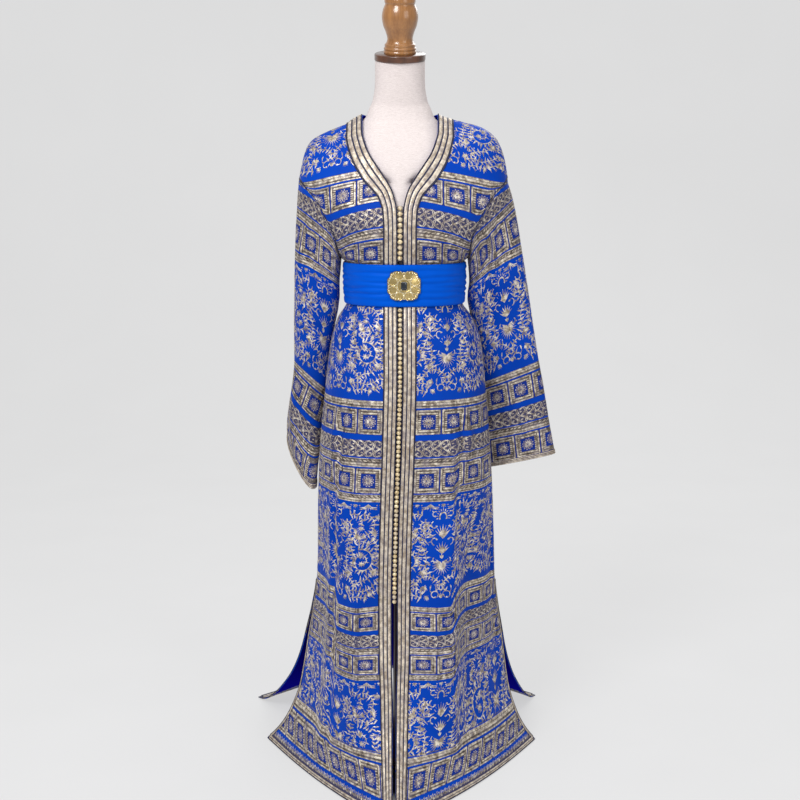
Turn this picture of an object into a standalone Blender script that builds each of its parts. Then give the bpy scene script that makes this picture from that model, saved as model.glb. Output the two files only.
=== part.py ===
"""A long brocade kaftan with its sash belt, worn on a limbless dress form.

Blender 4.5, metres, +Z up. The wearer's front faces -Y and the origin is the middle of the
stand's flat underside. "left" and "right" are the sides as seen from the front, -X and +X.
"""

import math
from collections import namedtuple

import bpy
import numpy as np

# Driving sizes of the garment
CLOTH = 0.0020  # wall of a panel, brocade and lining together
SEAM = 0.0003  # gap that parts two pieces
FLOOR_GAP = 0.0004  # how far the hem's underside lies above the stand's
TRIM = 0.0012  # thickness of the braid sewn on the edges
TRIM_WIDTH = 0.0090
FRONT_OPENING = 0.0056  # half the gap between the two front edges
BAND_COLUMNS = 2  # grid cells across the braid beside the opening
CENTRE_COLUMNS = (0.0, 0.25, 0.5, 0.707, 1.0)  # shares of the way from the centre back to the braid
PANEL_COLUMNS = 10
BELT_TOP = 1.1270
BELT_BOTTOM = 1.0360
YOKE_ROWS = 10  # grid rows from the shoulder to the armpit
YOKE_CROWDING = 1.6  # how much closer the rows lie at the shoulder
WAIST_ROWS = (BELT_TOP, 1.108, 1.085, 1.060, BELT_BOTTOM, 1.012, 0.975)
SKIRT_ROWS = 16

NECK_POINT = 1.446  # height where the shoulder seam meets the neck
BACK_NECK = 1.431  # height of the neckline at the centre back
VEE = 1.245  # height of the lowest point of the neckline
ARMPIT = 1.135
SHOULDER_END = 1.300  # height where the shoulder seam meets the sleeve
FLARE = 0.460  # below this the skirt runs out to its hem
SLIT_TOP = 0.400
ROUNDING = 0.105  # how far below the shoulder the cloth turns over to the front

# Driving sizes of the belt, the buttons and the stand
BELT = 0.0030
BELT_STEPS = 40
BELT_CLEAR = 0.0045  # from the middle of the panels' wall to the belt
BELT_BULGE = 0.0020
BUCKLE_WIDTH = 0.0710
BUCKLE_HEIGHT = 0.0640
BUCKLE_X = 0.0085
BUCKLE_RISE = 0.0010  # its middle above the belt's
BUCKLE_SIDES = 24
BUCKLE_SCALLOP = 0.035  # share of its reach that each of the six scallops adds
STONE = (0.0065, 0.0088, 0.0022)  # half its width, half its height, and the cut of its corners
STONE_SEAT = 0.0066  # how far its underside stands off the belt
BUTTON_PITCH = 0.0117
BUTTON_RADIUS = 0.0053
BUTTON_CORD = 0.0022
BUTTON_SIDES = 6
BUTTON_FORWARD = 0.0016  # how far the knots stand in front of the panels' face
LAST_BUTTON = 0.387
FORM_GAP = 0.0070
FORM_SIDES = 28
STAND_RADIUS = 0.150
STAND_HEIGHT = 0.022
POLE_RADIUS = 0.016

ROUNDNESS = 2.2  # power of the curve round the body: 2 is an ellipse, more is squarer
BACK_SHARE = 0.24  # how far towards the armhole the back's inner columns reach
BACK_HEM_SHARE = 0.30  # the same on the hem
FOLD_TOP = 0.22  # the height over which a skirt fold fades out at its top
FOLD_BOTTOM = 0.16
FOLD_SHARPNESS = 3

# The buckle's rings from its back to its raised middle: scale, and how far off the belt
Step = namedtuple("Step", "scale out")
BUCKLE_STEPS = (
    Step(0.05, 0.0),
    Step(0.50, 0.0),
    Step(0.97, 0.0),
    Step(1.00, 0.0020),
    Step(0.93, 0.0045),
    Step(0.45, 0.0065),
    Step(0.32, 0.0060),
)
STONE_STEPS = (Step(1.0, 0.0), Step(1.0, 0.0020), Step(0.62, 0.0042))

# Half widths to the left and right, and depths to the front and back, of the cloth at a height
Section = namedtuple("Section", "height left right front back")
SECTIONS = (
    Section(0.460, 0.187, 0.2145, 0.172, 0.188),
    Section(0.550, 0.186, 0.2115, 0.166, 0.175),
    Section(0.700, 0.1805, 0.2035, 0.160, 0.158),
    Section(0.830, 0.168, 0.192, 0.152, 0.143),
    Section(0.950, 0.1525, 0.1790, 0.137, 0.120),
    Section(1.000, 0.1380, 0.1610, 0.126, 0.106),
    Section(1.040, 0.1155, 0.1355, 0.111, 0.090),
    Section(1.080, 0.1130, 0.1330, 0.108, 0.087),
    Section(1.120, 0.1140, 0.1340, 0.111, 0.089),
    Section(1.135, 0.1280, 0.1480, 0.121, 0.094),
    Section(1.180, 0.1660, 0.1830, 0.138, 0.105),
    Section(1.220, 0.1960, 0.2130, 0.138, 0.110),
    Section(1.260, 0.2190, 0.2360, 0.130, 0.112),
    Section(1.300, 0.2320, 0.2470, 0.118, 0.110),
    Section(1.340, 0.2320, 0.2470, 0.103, 0.102),
    Section(1.380, 0.2320, 0.2470, 0.086, 0.091),
    Section(1.420, 0.2320, 0.2470, 0.067, 0.078),
    Section(1.470, 0.2320, 0.2470, 0.045, 0.062),
)

# The shoulder line, seen from the front: how far out it has come to the left and right
Ridge = namedtuple("Ridge", "height left right")
SHOULDER = (
    Ridge(1.540, 0.000, 0.000),
    Ridge(1.512, 0.040, 0.040),
    Ridge(1.474, 0.062, 0.062),
    Ridge(NECK_POINT, 0.080, 0.080),
    Ridge(1.436, 0.099, 0.104),
    Ridge(1.428, 0.110, 0.136),
    Ridge(1.420, 0.126, 0.168),
    Ridge(1.410, 0.152, 0.190),
    Ridge(1.398, 0.178, 0.2055),
    Ridge(1.385, 0.196, 0.2145),
    Ridge(1.360, 0.2085, 0.2250),
    Ridge(1.330, 0.2155, 0.2320),
    Ridge(SHOULDER_END, 0.2216, 0.2359),
)

# The front edge from the last button to the shoulder, and the braid's width beside it
Edge = namedtuple("Edge", "height out braid")
NECKLINE = (
    Edge(0.000, 0.0030, 0.0300),
    Edge(0.180, 0.0035, 0.0300),
    Edge(0.300, FRONT_OPENING, 0.0300),
    Edge(1.200, FRONT_OPENING, 0.0300),
    Edge(VEE, 0.0066, 0.0315),
    Edge(1.262, 0.0095, 0.0325),
    Edge(1.285, 0.0165, 0.0340),
    Edge(1.310, 0.0310, 0.0360),
    Edge(1.335, 0.0475, 0.0370),
    Edge(1.360, 0.0640, 0.0370),
    Edge(1.385, 0.0745, 0.0365),
    Edge(1.410, 0.0810, 0.0355),
    Edge(NECK_POINT, 0.0820, 0.0340),
)

# Share of the section's half width that the armhole seam reaches
Armhole = namedtuple("Armhole", "height share")
ARMHOLE = (
    Armhole(ARMPIT, 1.000),
    Armhole(1.148, 0.955),
    Armhole(1.165, 0.890),
    Armhole(1.200, 0.815),
    Armhole(1.240, 0.810),
    Armhole(1.275, 0.850),
    Armhole(SHOULDER_END, 0.955),
)

# Where the line of buttons runs, a little to the left further down
Line = namedtuple("Line", "height x")
CENTRE_LINE = (
    Line(0.000, -0.0125),
    Line(0.390, -0.0125),
    Line(0.550, -0.0095),
    Line(0.750, -0.0030),
    Line(0.900, 0.0000),
    Line(1.450, 0.0000),
)

# How far towards its hem the skirt has run out at a height
Flare = namedtuple("Flare", "height front back")
FLARES = (
    Flare(0.000, 1.000, 1.000),
    Flare(0.004, 0.975, 0.930),
    Flare(0.014, 0.890, 0.850),
    Flare(0.040, 0.715, 0.720),
    Flare(0.077, 0.545, 0.580),
    Flare(0.137, 0.365, 0.400),
    Flare(0.197, 0.270, 0.275),
    Flare(0.280, 0.160, 0.155),
    Flare(0.320, 0.100, 0.100),
    Flare(0.400, 0.020, 0.020),
    Flare(FLARE, 0.000, 0.000),
)

# Each half's hem on the floor: how far out its middle lies, its corner, and its bow outwards
Hem = namedtuple("Hem", "middle corner_x corner_y bulge")
HEMS = {
    ("front", -1): Hem(0.440, -0.313, 0.024, 0.012),
    ("front", 1): Hem(0.440, 0.318, 0.016, 0.016),
    ("back", -1): Hem(0.520, -0.360, 0.285, 0.015),
    ("back", 1): Hem(0.520, 0.345, 0.298, 0.015),
}

# Long soft folds of the skirt: the cloth beyond "across" steps back by "step" between two heights,
# and stands out by "ridge" along the fold
Fold = namedtuple("Fold", "face side across width low high step ridge")
FOLDS = (
    Fold("front", -1, 0.57, 0.055, 0.00, 0.68, 0.046, 0.012),
    Fold("front", -1, 0.30, 0.120, 0.05, 0.80, 0.010, 0.006),
    Fold("front", 1, 0.37, 0.060, 0.02, 0.68, 0.052, 0.014),
    Fold("front", 1, 0.80, 0.080, 0.10, 0.90, 0.000, -0.009),
    Fold("back", -1, 0.22, 0.070, 0.00, 0.95, 0.000, 0.018),
    Fold("back", -1, 0.48, 0.070, 0.00, 0.88, 0.010, -0.016),
    Fold("back", -1, 0.74, 0.080, 0.00, 0.80, 0.012, 0.014),
    Fold("back", 1, 0.18, 0.080, 0.00, 0.90, 0.000, -0.015),
    Fold("back", 1, 0.42, 0.070, 0.00, 0.96, 0.008, 0.017),
    Fold("back", 1, 0.70, 0.080, 0.00, 0.82, 0.012, -0.013),
)

# The edges of each hanging sleeve and half its thickness, from the armhole to the cuff
Cuff = namedtuple("Cuff", "inner outer half")
SLEEVES = {
    -1: (
        Cuff((-0.1360, 0.014, 1.085), (-0.2285, 0.004, 1.215), 0.050),
        Cuff((-0.1385, 0.022, 1.030), (-0.2330, 0.010, 1.118), 0.043),
        Cuff((-0.1610, 0.050, 0.930), (-0.2350, 0.026, 1.005), 0.042),
        Cuff((-0.1680, 0.066, 0.830), (-0.2400, 0.060, 0.900), 0.040),
        Cuff((-0.1830, 0.062, 0.735), (-0.2480, 0.098, 0.815), 0.031),
        Cuff((-0.1950, 0.034, 0.662), (-0.2560, 0.130, 0.755), 0.023),
        Cuff((-0.1980, 0.014, 0.606), (-0.2590, 0.146, 0.704), 0.018),
    ),
    1: (
        Cuff((0.1560, 0.012, 1.085), (0.2520, 0.002, 1.245), 0.050),
        Cuff((0.1535, 0.024, 1.035), (0.2700, 0.004, 1.145), 0.040),
        Cuff((0.1745, 0.054, 0.950), (0.2890, 0.018, 1.035), 0.033),
        Cuff((0.1790, 0.070, 0.860), (0.3080, 0.036, 0.925), 0.028),
        Cuff((0.1830, 0.080, 0.780), (0.3280, 0.050, 0.832), 0.024),
        Cuff((0.1870, 0.084, 0.710), (0.3430, 0.060, 0.752), 0.021),
        Cuff((0.1880, 0.086, 0.641), (0.3575, 0.066, 0.679), 0.020),
    ),
}
SLEEVE_ROWS = 11

# The dress form below the shoulders: half width, and depths to the front and back
Ring = namedtuple("Ring", "height width front back tilt")
TORSO = (
    Ring(0.760, 0.140, 0.098, 0.100, 0),
    Ring(0.775, 0.150, 0.108, 0.112, 0),
    Ring(0.850, 0.153, 0.112, 0.122, 0),
    Ring(0.920, 0.143, 0.106, 0.112, 0),
    Ring(0.980, 0.126, 0.099, 0.093, 0),
    Ring(1.040, 0.111, 0.093, 0.078, 0),
    Ring(1.085, 0.108, 0.092, 0.076, 0),
    Ring(1.130, 0.114, 0.101, 0.082, 0),
    Ring(1.180, 0.130, 0.124, 0.092, 0),
    Ring(1.220, 0.145, 0.128, 0.098, 0),
    Ring(1.260, 0.163, 0.122, 0.101, 0),
)
SHOULDER_RINGS = (1.300, 1.335, 1.362, 1.384, 1.400, 1.413, 1.425, 1.436)
# Its neck, above where the shoulders reach, with the forward tilt of each ring in degrees
NECK = (
    Ring(1.4600, 0.0665, 0.0440, 0.0560, 1),
    Ring(1.4760, 0.0597, 0.0440, 0.0535, 3),
    Ring(1.5080, 0.0545, 0.0460, 0.0520, 7),
    Ring(1.5605, 0.0540, 0.0490, 0.0520, 12),
)
NECK_LEAN = 0.0100  # how far the neck's top leans to the front

# The turned neck cap and finial: radius at a height along their tilted axis
Turn = namedtuple("Turn", "radius height")
CAP = (Turn(0.0525, 0.0), Turn(0.0553, 0.0020), Turn(0.0553, 0.0125), Turn(0.0530, 0.0145))
FINIAL = (
    Turn(0.0350, 0.0000),
    Turn(0.0358, 0.0035),
    Turn(0.0345, 0.0072),
    Turn(0.0352, 0.0105),
    Turn(0.0332, 0.0142),
    Turn(0.0334, 0.0185),
    Turn(0.0300, 0.0220),
    Turn(0.0275, 0.0310),
    Turn(0.0310, 0.0450),
    Turn(0.0365, 0.0590),
    Turn(0.0391, 0.0760),
    Turn(0.0370, 0.0900),
    Turn(0.0320, 0.1035),
    Turn(0.0334, 0.1080),
    Turn(0.0328, 0.1150),
    Turn(0.0235, 0.1215),
    Turn(0.0230, 0.1280),
    Turn(0.0270, 0.1370),
    Turn(0.0245, 0.1480),
    Turn(0.0120, 0.1550),
)
CAP_HEIGHT = CAP[-1].height
CAP_SIDES = 24
POLE_SIDES = 16
STAND_SIDES = 32

COLOURS = {
    "brocade": ((0.045, 0.115, 0.480), 0.42, 0.15),
    "braid": ((0.560, 0.450, 0.300), 0.38, 0.70),
    "satin": ((0.000, 0.110, 0.610), 0.34, 0.00),
    "gold": ((0.800, 0.600, 0.220), 0.25, 1.00),
    "stone": ((0.010, 0.012, 0.020), 0.08, 0.00),
    "linen": ((0.760, 0.700, 0.660), 0.90, 0.00),
    "wood": ((0.300, 0.130, 0.040), 0.38, 0.00),
    "dark_wood": ((0.110, 0.045, 0.018), 0.40, 0.00),
}


def column(table, name):
    return np.array([getattr(row, name) for row in table], float)


def smooth(knots, values, at):
    """A cubic through the values that never overshoots them, held level past both ends."""
    step = np.diff(knots)
    slope = np.diff(values) / step
    tangent = np.concatenate([slope[:1], np.zeros(len(slope) - 1), slope[-1:]])
    same = slope[:-1] * slope[1:] > 0
    near = 2 * step[1:] + step[:-1]
    far = step[1:] + 2 * step[:-1]
    with np.errstate(divide="ignore", invalid="ignore"):
        mean = (near + far) / (near / slope[:-1] + far / slope[1:])
    tangent[1:-1] = np.where(same, mean, 0.0)
    at = np.clip(np.asarray(at, float), knots[0], knots[-1])
    i = np.clip(np.searchsorted(knots, at) - 1, 0, len(step) - 1)
    t = (at - knots[i]) / step[i]
    rise = values[i] * (1 + 2 * t) * (1 - t) ** 2 + values[i + 1] * t * t * (3 - 2 * t)
    return rise + step[i] * (tangent[i] * t * (1 - t) ** 2 - tangent[i + 1] * t * t * (1 - t))


def read(table, name, at, key="height"):
    return smooth(column(table, key), column(table, name), at)


def mix(low, high, share):
    return low + (high - low) * share


def half_width(side, height):
    return read(SECTIONS, "left" if side < 0 else "right", height)


def ridge(side, out):
    """Height of the shoulder line this far out from the middle."""
    return read(SHOULDER, "height", np.abs(out), key="left" if side < 0 else "right")


def depth(face, side, out, height):
    """How far the cloth stands in front of, or behind, the middle plane."""
    share = np.clip(np.abs(out) / half_width(side, height), 0, 1)
    full = read(SECTIONS, face, height) * np.power(1 - share**ROUNDNESS, 1 / ROUNDNESS)
    fall = np.clip((ridge(side, out) - height) / ROUNDING, 0, 1)
    return full * np.sqrt(1 - (1 - fall) ** 2)


def outer_height(level):
    """The height at the armhole or side of the row that starts at this height in the middle."""
    ratio = (SHOULDER_END - ARMPIT) / (NECK_POINT - ARMPIT)
    return np.where(level > ARMPIT, ARMPIT + (level - ARMPIT) * ratio, level)


def shoulder_pull(level):
    """1 on the shoulder seam, 0 from the bottom of the neckline down."""
    return np.clip((level - VEE) / (NECK_POINT - VEE), 0, 1) ** 1.5


def armhole_angle(level):
    return np.arcsin(np.clip(read(ARMHOLE, "share", outer_height(level)), 0, 1))


def skirt_folds(face, side, across, height):
    """How far the folds bring the cloth out, or let it fall back."""
    out = np.zeros(np.broadcast(across, height).shape)
    for fold in FOLDS:
        if (fold.face, fold.side) != (face, side):
            continue
        reach = np.clip((fold.high - height) / FOLD_TOP, 0, 1)
        reach = reach * np.clip((height - fold.low) / FOLD_BOTTOM, 0, 1)
        reach = reach * reach * (3 - 2 * reach)
        away = (across - fold.across) / fold.width
        ends = np.clip(across * 5, 0, 1) * np.clip((1 - across) * 5, 0, 1)
        step = fold.step * (0.5 - 1 / (1 + np.exp(-FOLD_SHARPNESS * away)))
        out += reach * ends * (step + fold.ridge * np.exp(-away * away))
    return out


def panel(face, side, across, level):
    """Points of the middle of a panel's wall, for half the front or half the back.

    across runs from 0 at the middle, by -1 at the line of the neck point on the back and at the
    front edge, to 1 at the armhole, side seam or slit. It is given for each row.
    """
    level = level[:, None]
    top = np.maximum(level, FLARE)
    pull = shoulder_pull(top)
    z_out = outer_height(top)
    angle_out = armhole_angle(top)
    out_out = half_width(side, z_out) * np.sin(angle_out)
    if face == "front":
        edge = read(NECKLINE, "out", level)
        slope = (read(NECKLINE, "out", top + 0.002) - read(NECKLINE, "out", top - 0.002)) / 0.004
        slope = np.where(top > VEE - 0.02, slope, 0) * (1 - pull)
        braid = read(NECKLINE, "braid", top)
        length = np.sqrt(1 + slope**2)
        out_braid = edge + braid / length
        z_braid = top - braid * slope / length
        z_braid = mix(z_braid, ridge(side, out_braid) - (ridge(side, edge) - top), pull)
        inner = np.clip(across + 1, 0, 1)
        out_inner = mix(edge, out_braid, inner)
        z_inner = mix(top, z_braid, inner)
    else:
        neck = NECKLINE[-1].out
        beside = neck + NECKLINE[-1].braid
        rise = (BACK_NECK - ARMPIT) / (NECK_POINT - ARMPIT)
        z_middle = np.where(top > ARMPIT, ARMPIT + (top - ARMPIT) * rise, top)
        inner = np.clip((across + 2) / 2, 0, 1)
        angle_neck = mix(angle_out * BACK_SHARE, np.arcsin(beside / half_width(side, NECK_POINT)), pull)
        z_seam = ridge(side, beside) - (NECK_POINT - top)
        z_braid = mix(mix(z_middle, z_out, BACK_SHARE), z_seam, pull)
        out_braid = half_width(side, z_braid) * np.sin(angle_neck)
        out_inner = out_braid * inner
        curve = BACK_NECK + (NECK_POINT - BACK_NECK) * np.clip(out_inner / neck, 0, 1) ** 2
        z_top = np.where(out_inner < neck, curve, ridge(side, out_inner))
        z_inner = mix(mix(z_middle, z_braid, inner), z_top - (NECK_POINT - top), pull)
    share = np.clip(across, 0, 1)
    angle = mix(np.arcsin(np.clip(out_braid / half_width(side, z_braid), 0, 1)), angle_out, share)
    z_level = mix(z_braid, z_out, share)
    out_far = half_width(side, z_level) * np.sin(angle)
    drop = mix(ridge(side, out_braid) - z_braid, ridge(side, out_out) - z_out, share)
    z_far = mix(z_level, ridge(side, out_far) - drop, pull)
    out = np.where(across > 0, out_far, out_inner)
    z = np.where(across > 0, z_far, z_inner)
    y = depth(face, side, out, z)
    middle = read(CENTRE_LINE, "x", level) * (face == "front")
    fade = np.clip(1.3 * (1 - out / half_width(side, z)), 0, 1)
    x = side * out + middle * fade
    x, y, z = run_out(face, side, across, level, x, y, z)
    y = y + skirt_folds(face, side, np.clip(across, 0, 1), z)
    return np.stack([x, -y if face == "front" else y, z], -1)


def run_out(face, side, across, level, x, y, z):
    """Carries the skirt's points out to the hem on the floor."""
    hem = HEMS[face, side]
    share = read(FLARES, face, level)
    middle_x = read(CENTRE_LINE, "x", level) * (face == "front")
    start_x = middle_x + side * (read(NECKLINE, "out", level) if face == "front" else 0)
    corner_y = -hem.corner_y if face == "front" else hem.corner_y
    length = math.hypot(hem.corner_x, corner_y - hem.middle)
    braid = NECKLINE[0].braid / length if face == "front" else BACK_HEM_SHARE
    first = np.clip((across + 1) if face == "front" else (across + 2) / 2, 0, 1) * braid
    along = np.where(across > 0, mix(braid, 1, np.clip(across, 0, 1)), first)
    hem_x = mix(start_x, hem.corner_x, along) + side * hem.bulge * np.sin(math.pi * along)
    hem_y = mix(hem.middle, corner_y, along) + hem.bulge * np.sin(math.pi * along)
    floor = CLOTH / 2 + FLOOR_GAP
    height = np.where(level < FLARE, floor + level * (1 - floor / FLARE), z)
    return mix(x, hem_x, share), mix(y, hem_y, share), height


def levels(rows_above, rows_below):
    """Row heights: crowded at the shoulder and waist, then evenly spaced down the cloth.

    The last but one is a braid's width above the hem.
    """
    yoke = NECK_POINT - (NECK_POINT - ARMPIT) * np.linspace(0, 1, rows_above + 1) ** YOKE_CROWDING
    dense = np.linspace(WAIST_ROWS[-1], 0, 600)
    line = panel("front", 1, np.full((600, 1), 0.3), dense)[:, 0]
    run = np.concatenate([[0], np.cumsum(np.linalg.norm(np.diff(line, axis=0), axis=1))])
    marks = np.linspace(0, run[-1] - TRIM_WIDTH, rows_below)
    return np.concatenate([yoke, WAIST_ROWS, np.interp(marks, run, dense)[1:], [0.0]])


def across_columns(face, side, level):
    """Across values for each row, with one line a braid's width inside the outer edge."""
    trial = panel(face, side, np.tile(np.linspace(0, 1, 60), (len(level), 1)), level)
    width = np.linalg.norm(np.diff(trial, axis=1), axis=2).sum(1)
    inside = 1 - TRIM_WIDTH / width
    far = np.linspace(0, 1, PANEL_COLUMNS + 1)[None, 1:] * inside[:, None]
    if face == "front":
        near = np.linspace(-1, 0, BAND_COLUMNS + 1)
    else:
        near = 2 * np.array(CENTRE_COLUMNS) - 2
    near = np.tile(near, (len(level), 1))
    return np.concatenate([near, far, np.ones((len(level), 1))], 1)


def normals_of(points, wrap=False):
    """Unit normals of a grid, to the side that the rows cross the columns."""
    if wrap:
        down = np.gradient(points, axis=0)
        along = (np.roll(points, -1, 1) - np.roll(points, 1, 1)) / 2
    else:
        down, along = np.gradient(points, axis=0), np.gradient(points, axis=1)
    normal = np.cross(down, along)
    return normal / np.linalg.norm(normal, axis=2, keepdims=True)


def seam_normals(points, normals, side):
    """Normals that the front and the back share, on the shoulder seam and the side seam."""
    slope = np.gradient(points[0, :, [0, 2]].T, axis=0)
    up = np.stack([-slope[:, 1], 0 * slope[:, 1], slope[:, 0]], 1)
    up *= np.sign(up[:, 2:3] + 1e-9)
    normals[0] = up / np.linalg.norm(up, axis=1, keepdims=True)
    edge = np.gradient(points[:, -1, [0, 2]], axis=0)
    out = np.stack([-edge[:, 1], 0 * edge[:, 1], edge[:, 0]], 1)
    out *= np.sign(out[:, 0:1] * side)
    out /= np.linalg.norm(out, axis=1, keepdims=True)
    below = points[:, -1, 2]
    seam = (below < ARMPIT + 0.001) & (below > SLIT_TOP - 0.001)
    normals[seam, -1] = out[seam]
    return normals


def wall(points, normals, low, high, keep=None, wrap=False):
    """A closed solid between two heights off a grid, over all its cells or over those to keep."""
    rows, columns = points.shape[:2]
    cells = np.ones((rows - 1, columns if wrap else columns - 1), bool) if keep is None else keep
    index = np.arange(rows * columns).reshape(rows, columns)
    tops = []
    for i, j in zip(*np.nonzero(cells)):
        right = (j + 1) % columns
        a, b, c, d = index[i, j], index[i + 1, j], index[i + 1, right], index[i, right]
        first = np.linalg.norm(points[i, j] - points[i + 1, right])
        second = np.linalg.norm(points[i + 1, j] - points[i, right])
        tops += [(a, b, c), (a, c, d)] if first < second else [(a, b, d), (b, c, d)]
    used = sorted({int(corner) for face in tops for corner in face})
    place = {corner: n for n, corner in enumerate(used)}
    flat, lift = points.reshape(-1, 3)[used], normals.reshape(-1, 3)[used]
    upper = [tuple(place[int(corner)] for corner in face) for face in tops]
    count = len(used)
    lower = [tuple(corner + count for corner in reversed(face)) for face in upper]
    edges = {(face[n], face[(n + 1) % 3]) for face in upper for n in range(3)}
    rim = [(b, a, a + count, b + count) for a, b in sorted(edges) if (b, a) not in edges]
    vertices = np.concatenate([flat + lift * high, flat + lift * low])
    return vertices, upper + lower + rim


def add_object(name, vertices, faces, material, flip=False):
    mesh = bpy.data.meshes.new(name)
    if flip:
        faces = [tuple(reversed(face)) for face in faces]
    mesh.from_pydata([tuple(map(float, v)) for v in vertices], [], faces)
    mesh.update()
    mesh.shade_smooth()
    mesh.materials.append(materials[material])
    made = bpy.data.objects.new(name, mesh)
    bpy.context.scene.collection.objects.link(made)
    return made


def pull_in(points, row=None, columns=None, by=SEAM / 2):
    """Draws a seam's edge points back along the cloth, so that the two pieces stand apart."""
    if row is not None:
        step = points[row + 1] - points[row]
        points[row] += step / np.linalg.norm(step, axis=1, keepdims=True) * by
    if columns is not None:
        for column_at, towards in columns:
            step = points[:, towards] - points[:, column_at]
            points[:, column_at] += step / np.linalg.norm(step, axis=1, keepdims=True) * by
    return points


def make_front(side, name, level):
    """One front panel, its braid beside the opening, and the braid on its slit and hem."""
    across = across_columns("front", side, level)
    points = panel("front", side, across, level)
    normals = normals_of(points) * side
    normals = seam_normals(points, normals, side)
    points = pull_in(points, row=0, columns=[(-1, -2)])
    turn = side > 0
    half = CLOTH / 2
    add_object(f"front_{name}", *wall(points, normals, -half, half), "brocade", flip=not turn)
    cells = np.zeros((len(level) - 1, across.shape[1] - 1), bool)
    cells[:, :BAND_COLUMNS] = True
    low = half + SEAM
    add_object(f"band_{name}", *wall(points, normals, low, low + TRIM, cells), "braid", flip=not turn)
    cells[:] = False
    slit = np.nonzero(level < SLIT_TOP)[0][0]
    cells[slit:, -1] = True
    cells[-1, BAND_COLUMNS:] = True
    edged, lift = points.copy(), normals
    edged[:, BAND_COLUMNS] += (edged[:, BAND_COLUMNS + 1] - edged[:, BAND_COLUMNS]) * 0.02
    add_object(f"hem_braid_{name}", *wall(edged, lift, low, low + TRIM, cells), "braid", flip=not turn)
    return points, normals


def make_back(level):
    """The back panel in one piece, the braid round the back of the neck and the hem's braid."""
    halves = {}
    for side in (-1, 1):
        across = across_columns("back", side, level)
        points = panel("back", side, across, level)
        normals = seam_normals(points, normals_of(points) * -side, side)
        halves[side] = (points, normals)
    middle = (halves[-1][0][:, :1] + halves[1][0][:, :1]) / 2
    points = np.concatenate([halves[-1][0][:, :0:-1], middle, halves[1][0][:, 1:]], 1)
    normals = normals_of(points) * -1
    count = halves[1][0].shape[1]
    normals[:, 0], normals[:, -1] = halves[-1][1][:, -1], halves[1][1][:, -1]
    neck = len(CENTRE_COLUMNS) - 1
    for j in range(neck, count):
        normals[0, count - 1 - j] = halves[-1][1][0, j]
        normals[0, count - 1 + j] = halves[1][1][0, j]
    points = pull_in(points, row=0, columns=[(0, 1), (-1, -2)])
    half = CLOTH / 2
    add_object("back", *wall(points, normals, -half, half), "brocade", flip=True)
    cells = np.zeros((len(level) - 1, points.shape[1] - 1), bool)
    cells[:1, count - 1 - neck : count - 1 + neck] = True
    low = half + SEAM
    add_object("band_neck_back", *wall(points, normals, low, low + TRIM, cells), "braid", flip=True)
    cells[:] = False
    slit = np.nonzero(level < SLIT_TOP)[0][0]
    cells[slit:, 0] = cells[slit:, -1] = True
    cells[-1] = True
    add_object("hem_braid_back", *wall(points, normals, low, low + TRIM, cells), "braid", flip=True)
    return halves


def spline(keys, at):
    """Points on a smooth curve through key rings, at positions counted in keys."""
    keys = np.asarray(keys)
    padded = np.concatenate([keys[:1] * 2 - keys[1:2], keys, keys[-1:] * 2 - keys[-2:-1]])
    found = []
    for position in at:
        i = min(int(position), len(keys) - 2)
        t = position - i
        a, b, c, d = padded[i : i + 4]
        cubic = -a + 3 * b - 3 * c + d
        square = 2 * a - 5 * b + 4 * c - d
        found.append(b + 0.5 * t * (c - a + t * (square + t * cubic)))
    return np.array(found)


def sleeve_ring(cuff, count):
    """A flattened ring of points from the inner edge, over the front to the outer edge, and back."""
    inner, outer = np.array(cuff.inner), np.array(cuff.outer)
    turn = np.arange(2 * count) * math.pi / count
    along = (1 - np.cos(turn)) / 2
    swell = np.sin(turn)
    swell = np.sign(swell) * np.abs(swell) ** 0.8
    flat = outer - inner
    across = np.cross(flat, [0, 0, 1.0]) * (1 if flat[0] > 0 else -1)
    across /= -np.linalg.norm(across) * np.sign(across[1])
    return inner + along[:, None] * flat + swell[:, None] * across * cuff.half


def make_sleeve(side, name, front, back):
    """A hanging sleeve, from the armhole of the panels to its open cuff."""
    front_points, front_normals = front
    back_points, back_normals = back
    edge = np.concatenate([front_points[YOKE_ROWS:0:-1, -1], back_points[:YOKE_ROWS, -1]])
    lift = np.concatenate([front_normals[YOKE_ROWS:0:-1, -1], back_normals[:YOKE_ROWS, -1]])
    inside = np.concatenate([front_points[YOKE_ROWS:0:-1, -2], back_points[:YOKE_ROWS, -2]])
    away = edge - inside
    away -= lift * (away * lift).sum(1, keepdims=True)
    away[0] = (0, 0, 1)
    away /= np.linalg.norm(away, axis=1, keepdims=True)
    count = YOKE_ROWS
    turn = np.minimum(np.arange(2 * count), 2 * count - np.arange(2 * count)) / count
    low = np.clip(1 - turn * 2.6, 0, 1)[:, None]
    start = edge + away * (SEAM + 0.0012 * low) + lift * 0.0030 * low
    keys = [start] + [sleeve_ring(cuff, count) for cuff in SLEEVES[side]]
    places = np.linspace(0, 1, SLEEVE_ROWS + 1) ** 1.15 * (len(keys) - 1)
    places = np.concatenate([places[:-1], [places[-1] - 0.17, places[-1]]])
    points = spline(keys, places)
    normals = normals_of(points, wrap=True) * side
    level_with = np.clip(turn * 2.6 - 0.6, 0, 1)[:, None]
    normals[0] = mix(normals[0], lift, level_with)
    normals[0] /= np.linalg.norm(normals[0], axis=1, keepdims=True)
    half = CLOTH / 2
    add_object(f"sleeve_{name}", *wall(points, normals, -half, half, wrap=True), "brocade", flip=side < 0)
    cells = np.zeros((len(places) - 1, 2 * count), bool)
    cells[-1] = True
    low = half + SEAM
    braid = wall(points, normals, low, low + TRIM, cells, wrap=True)
    add_object(f"cuff_braid_{name}", *braid, "braid", flip=side < 0)


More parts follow.
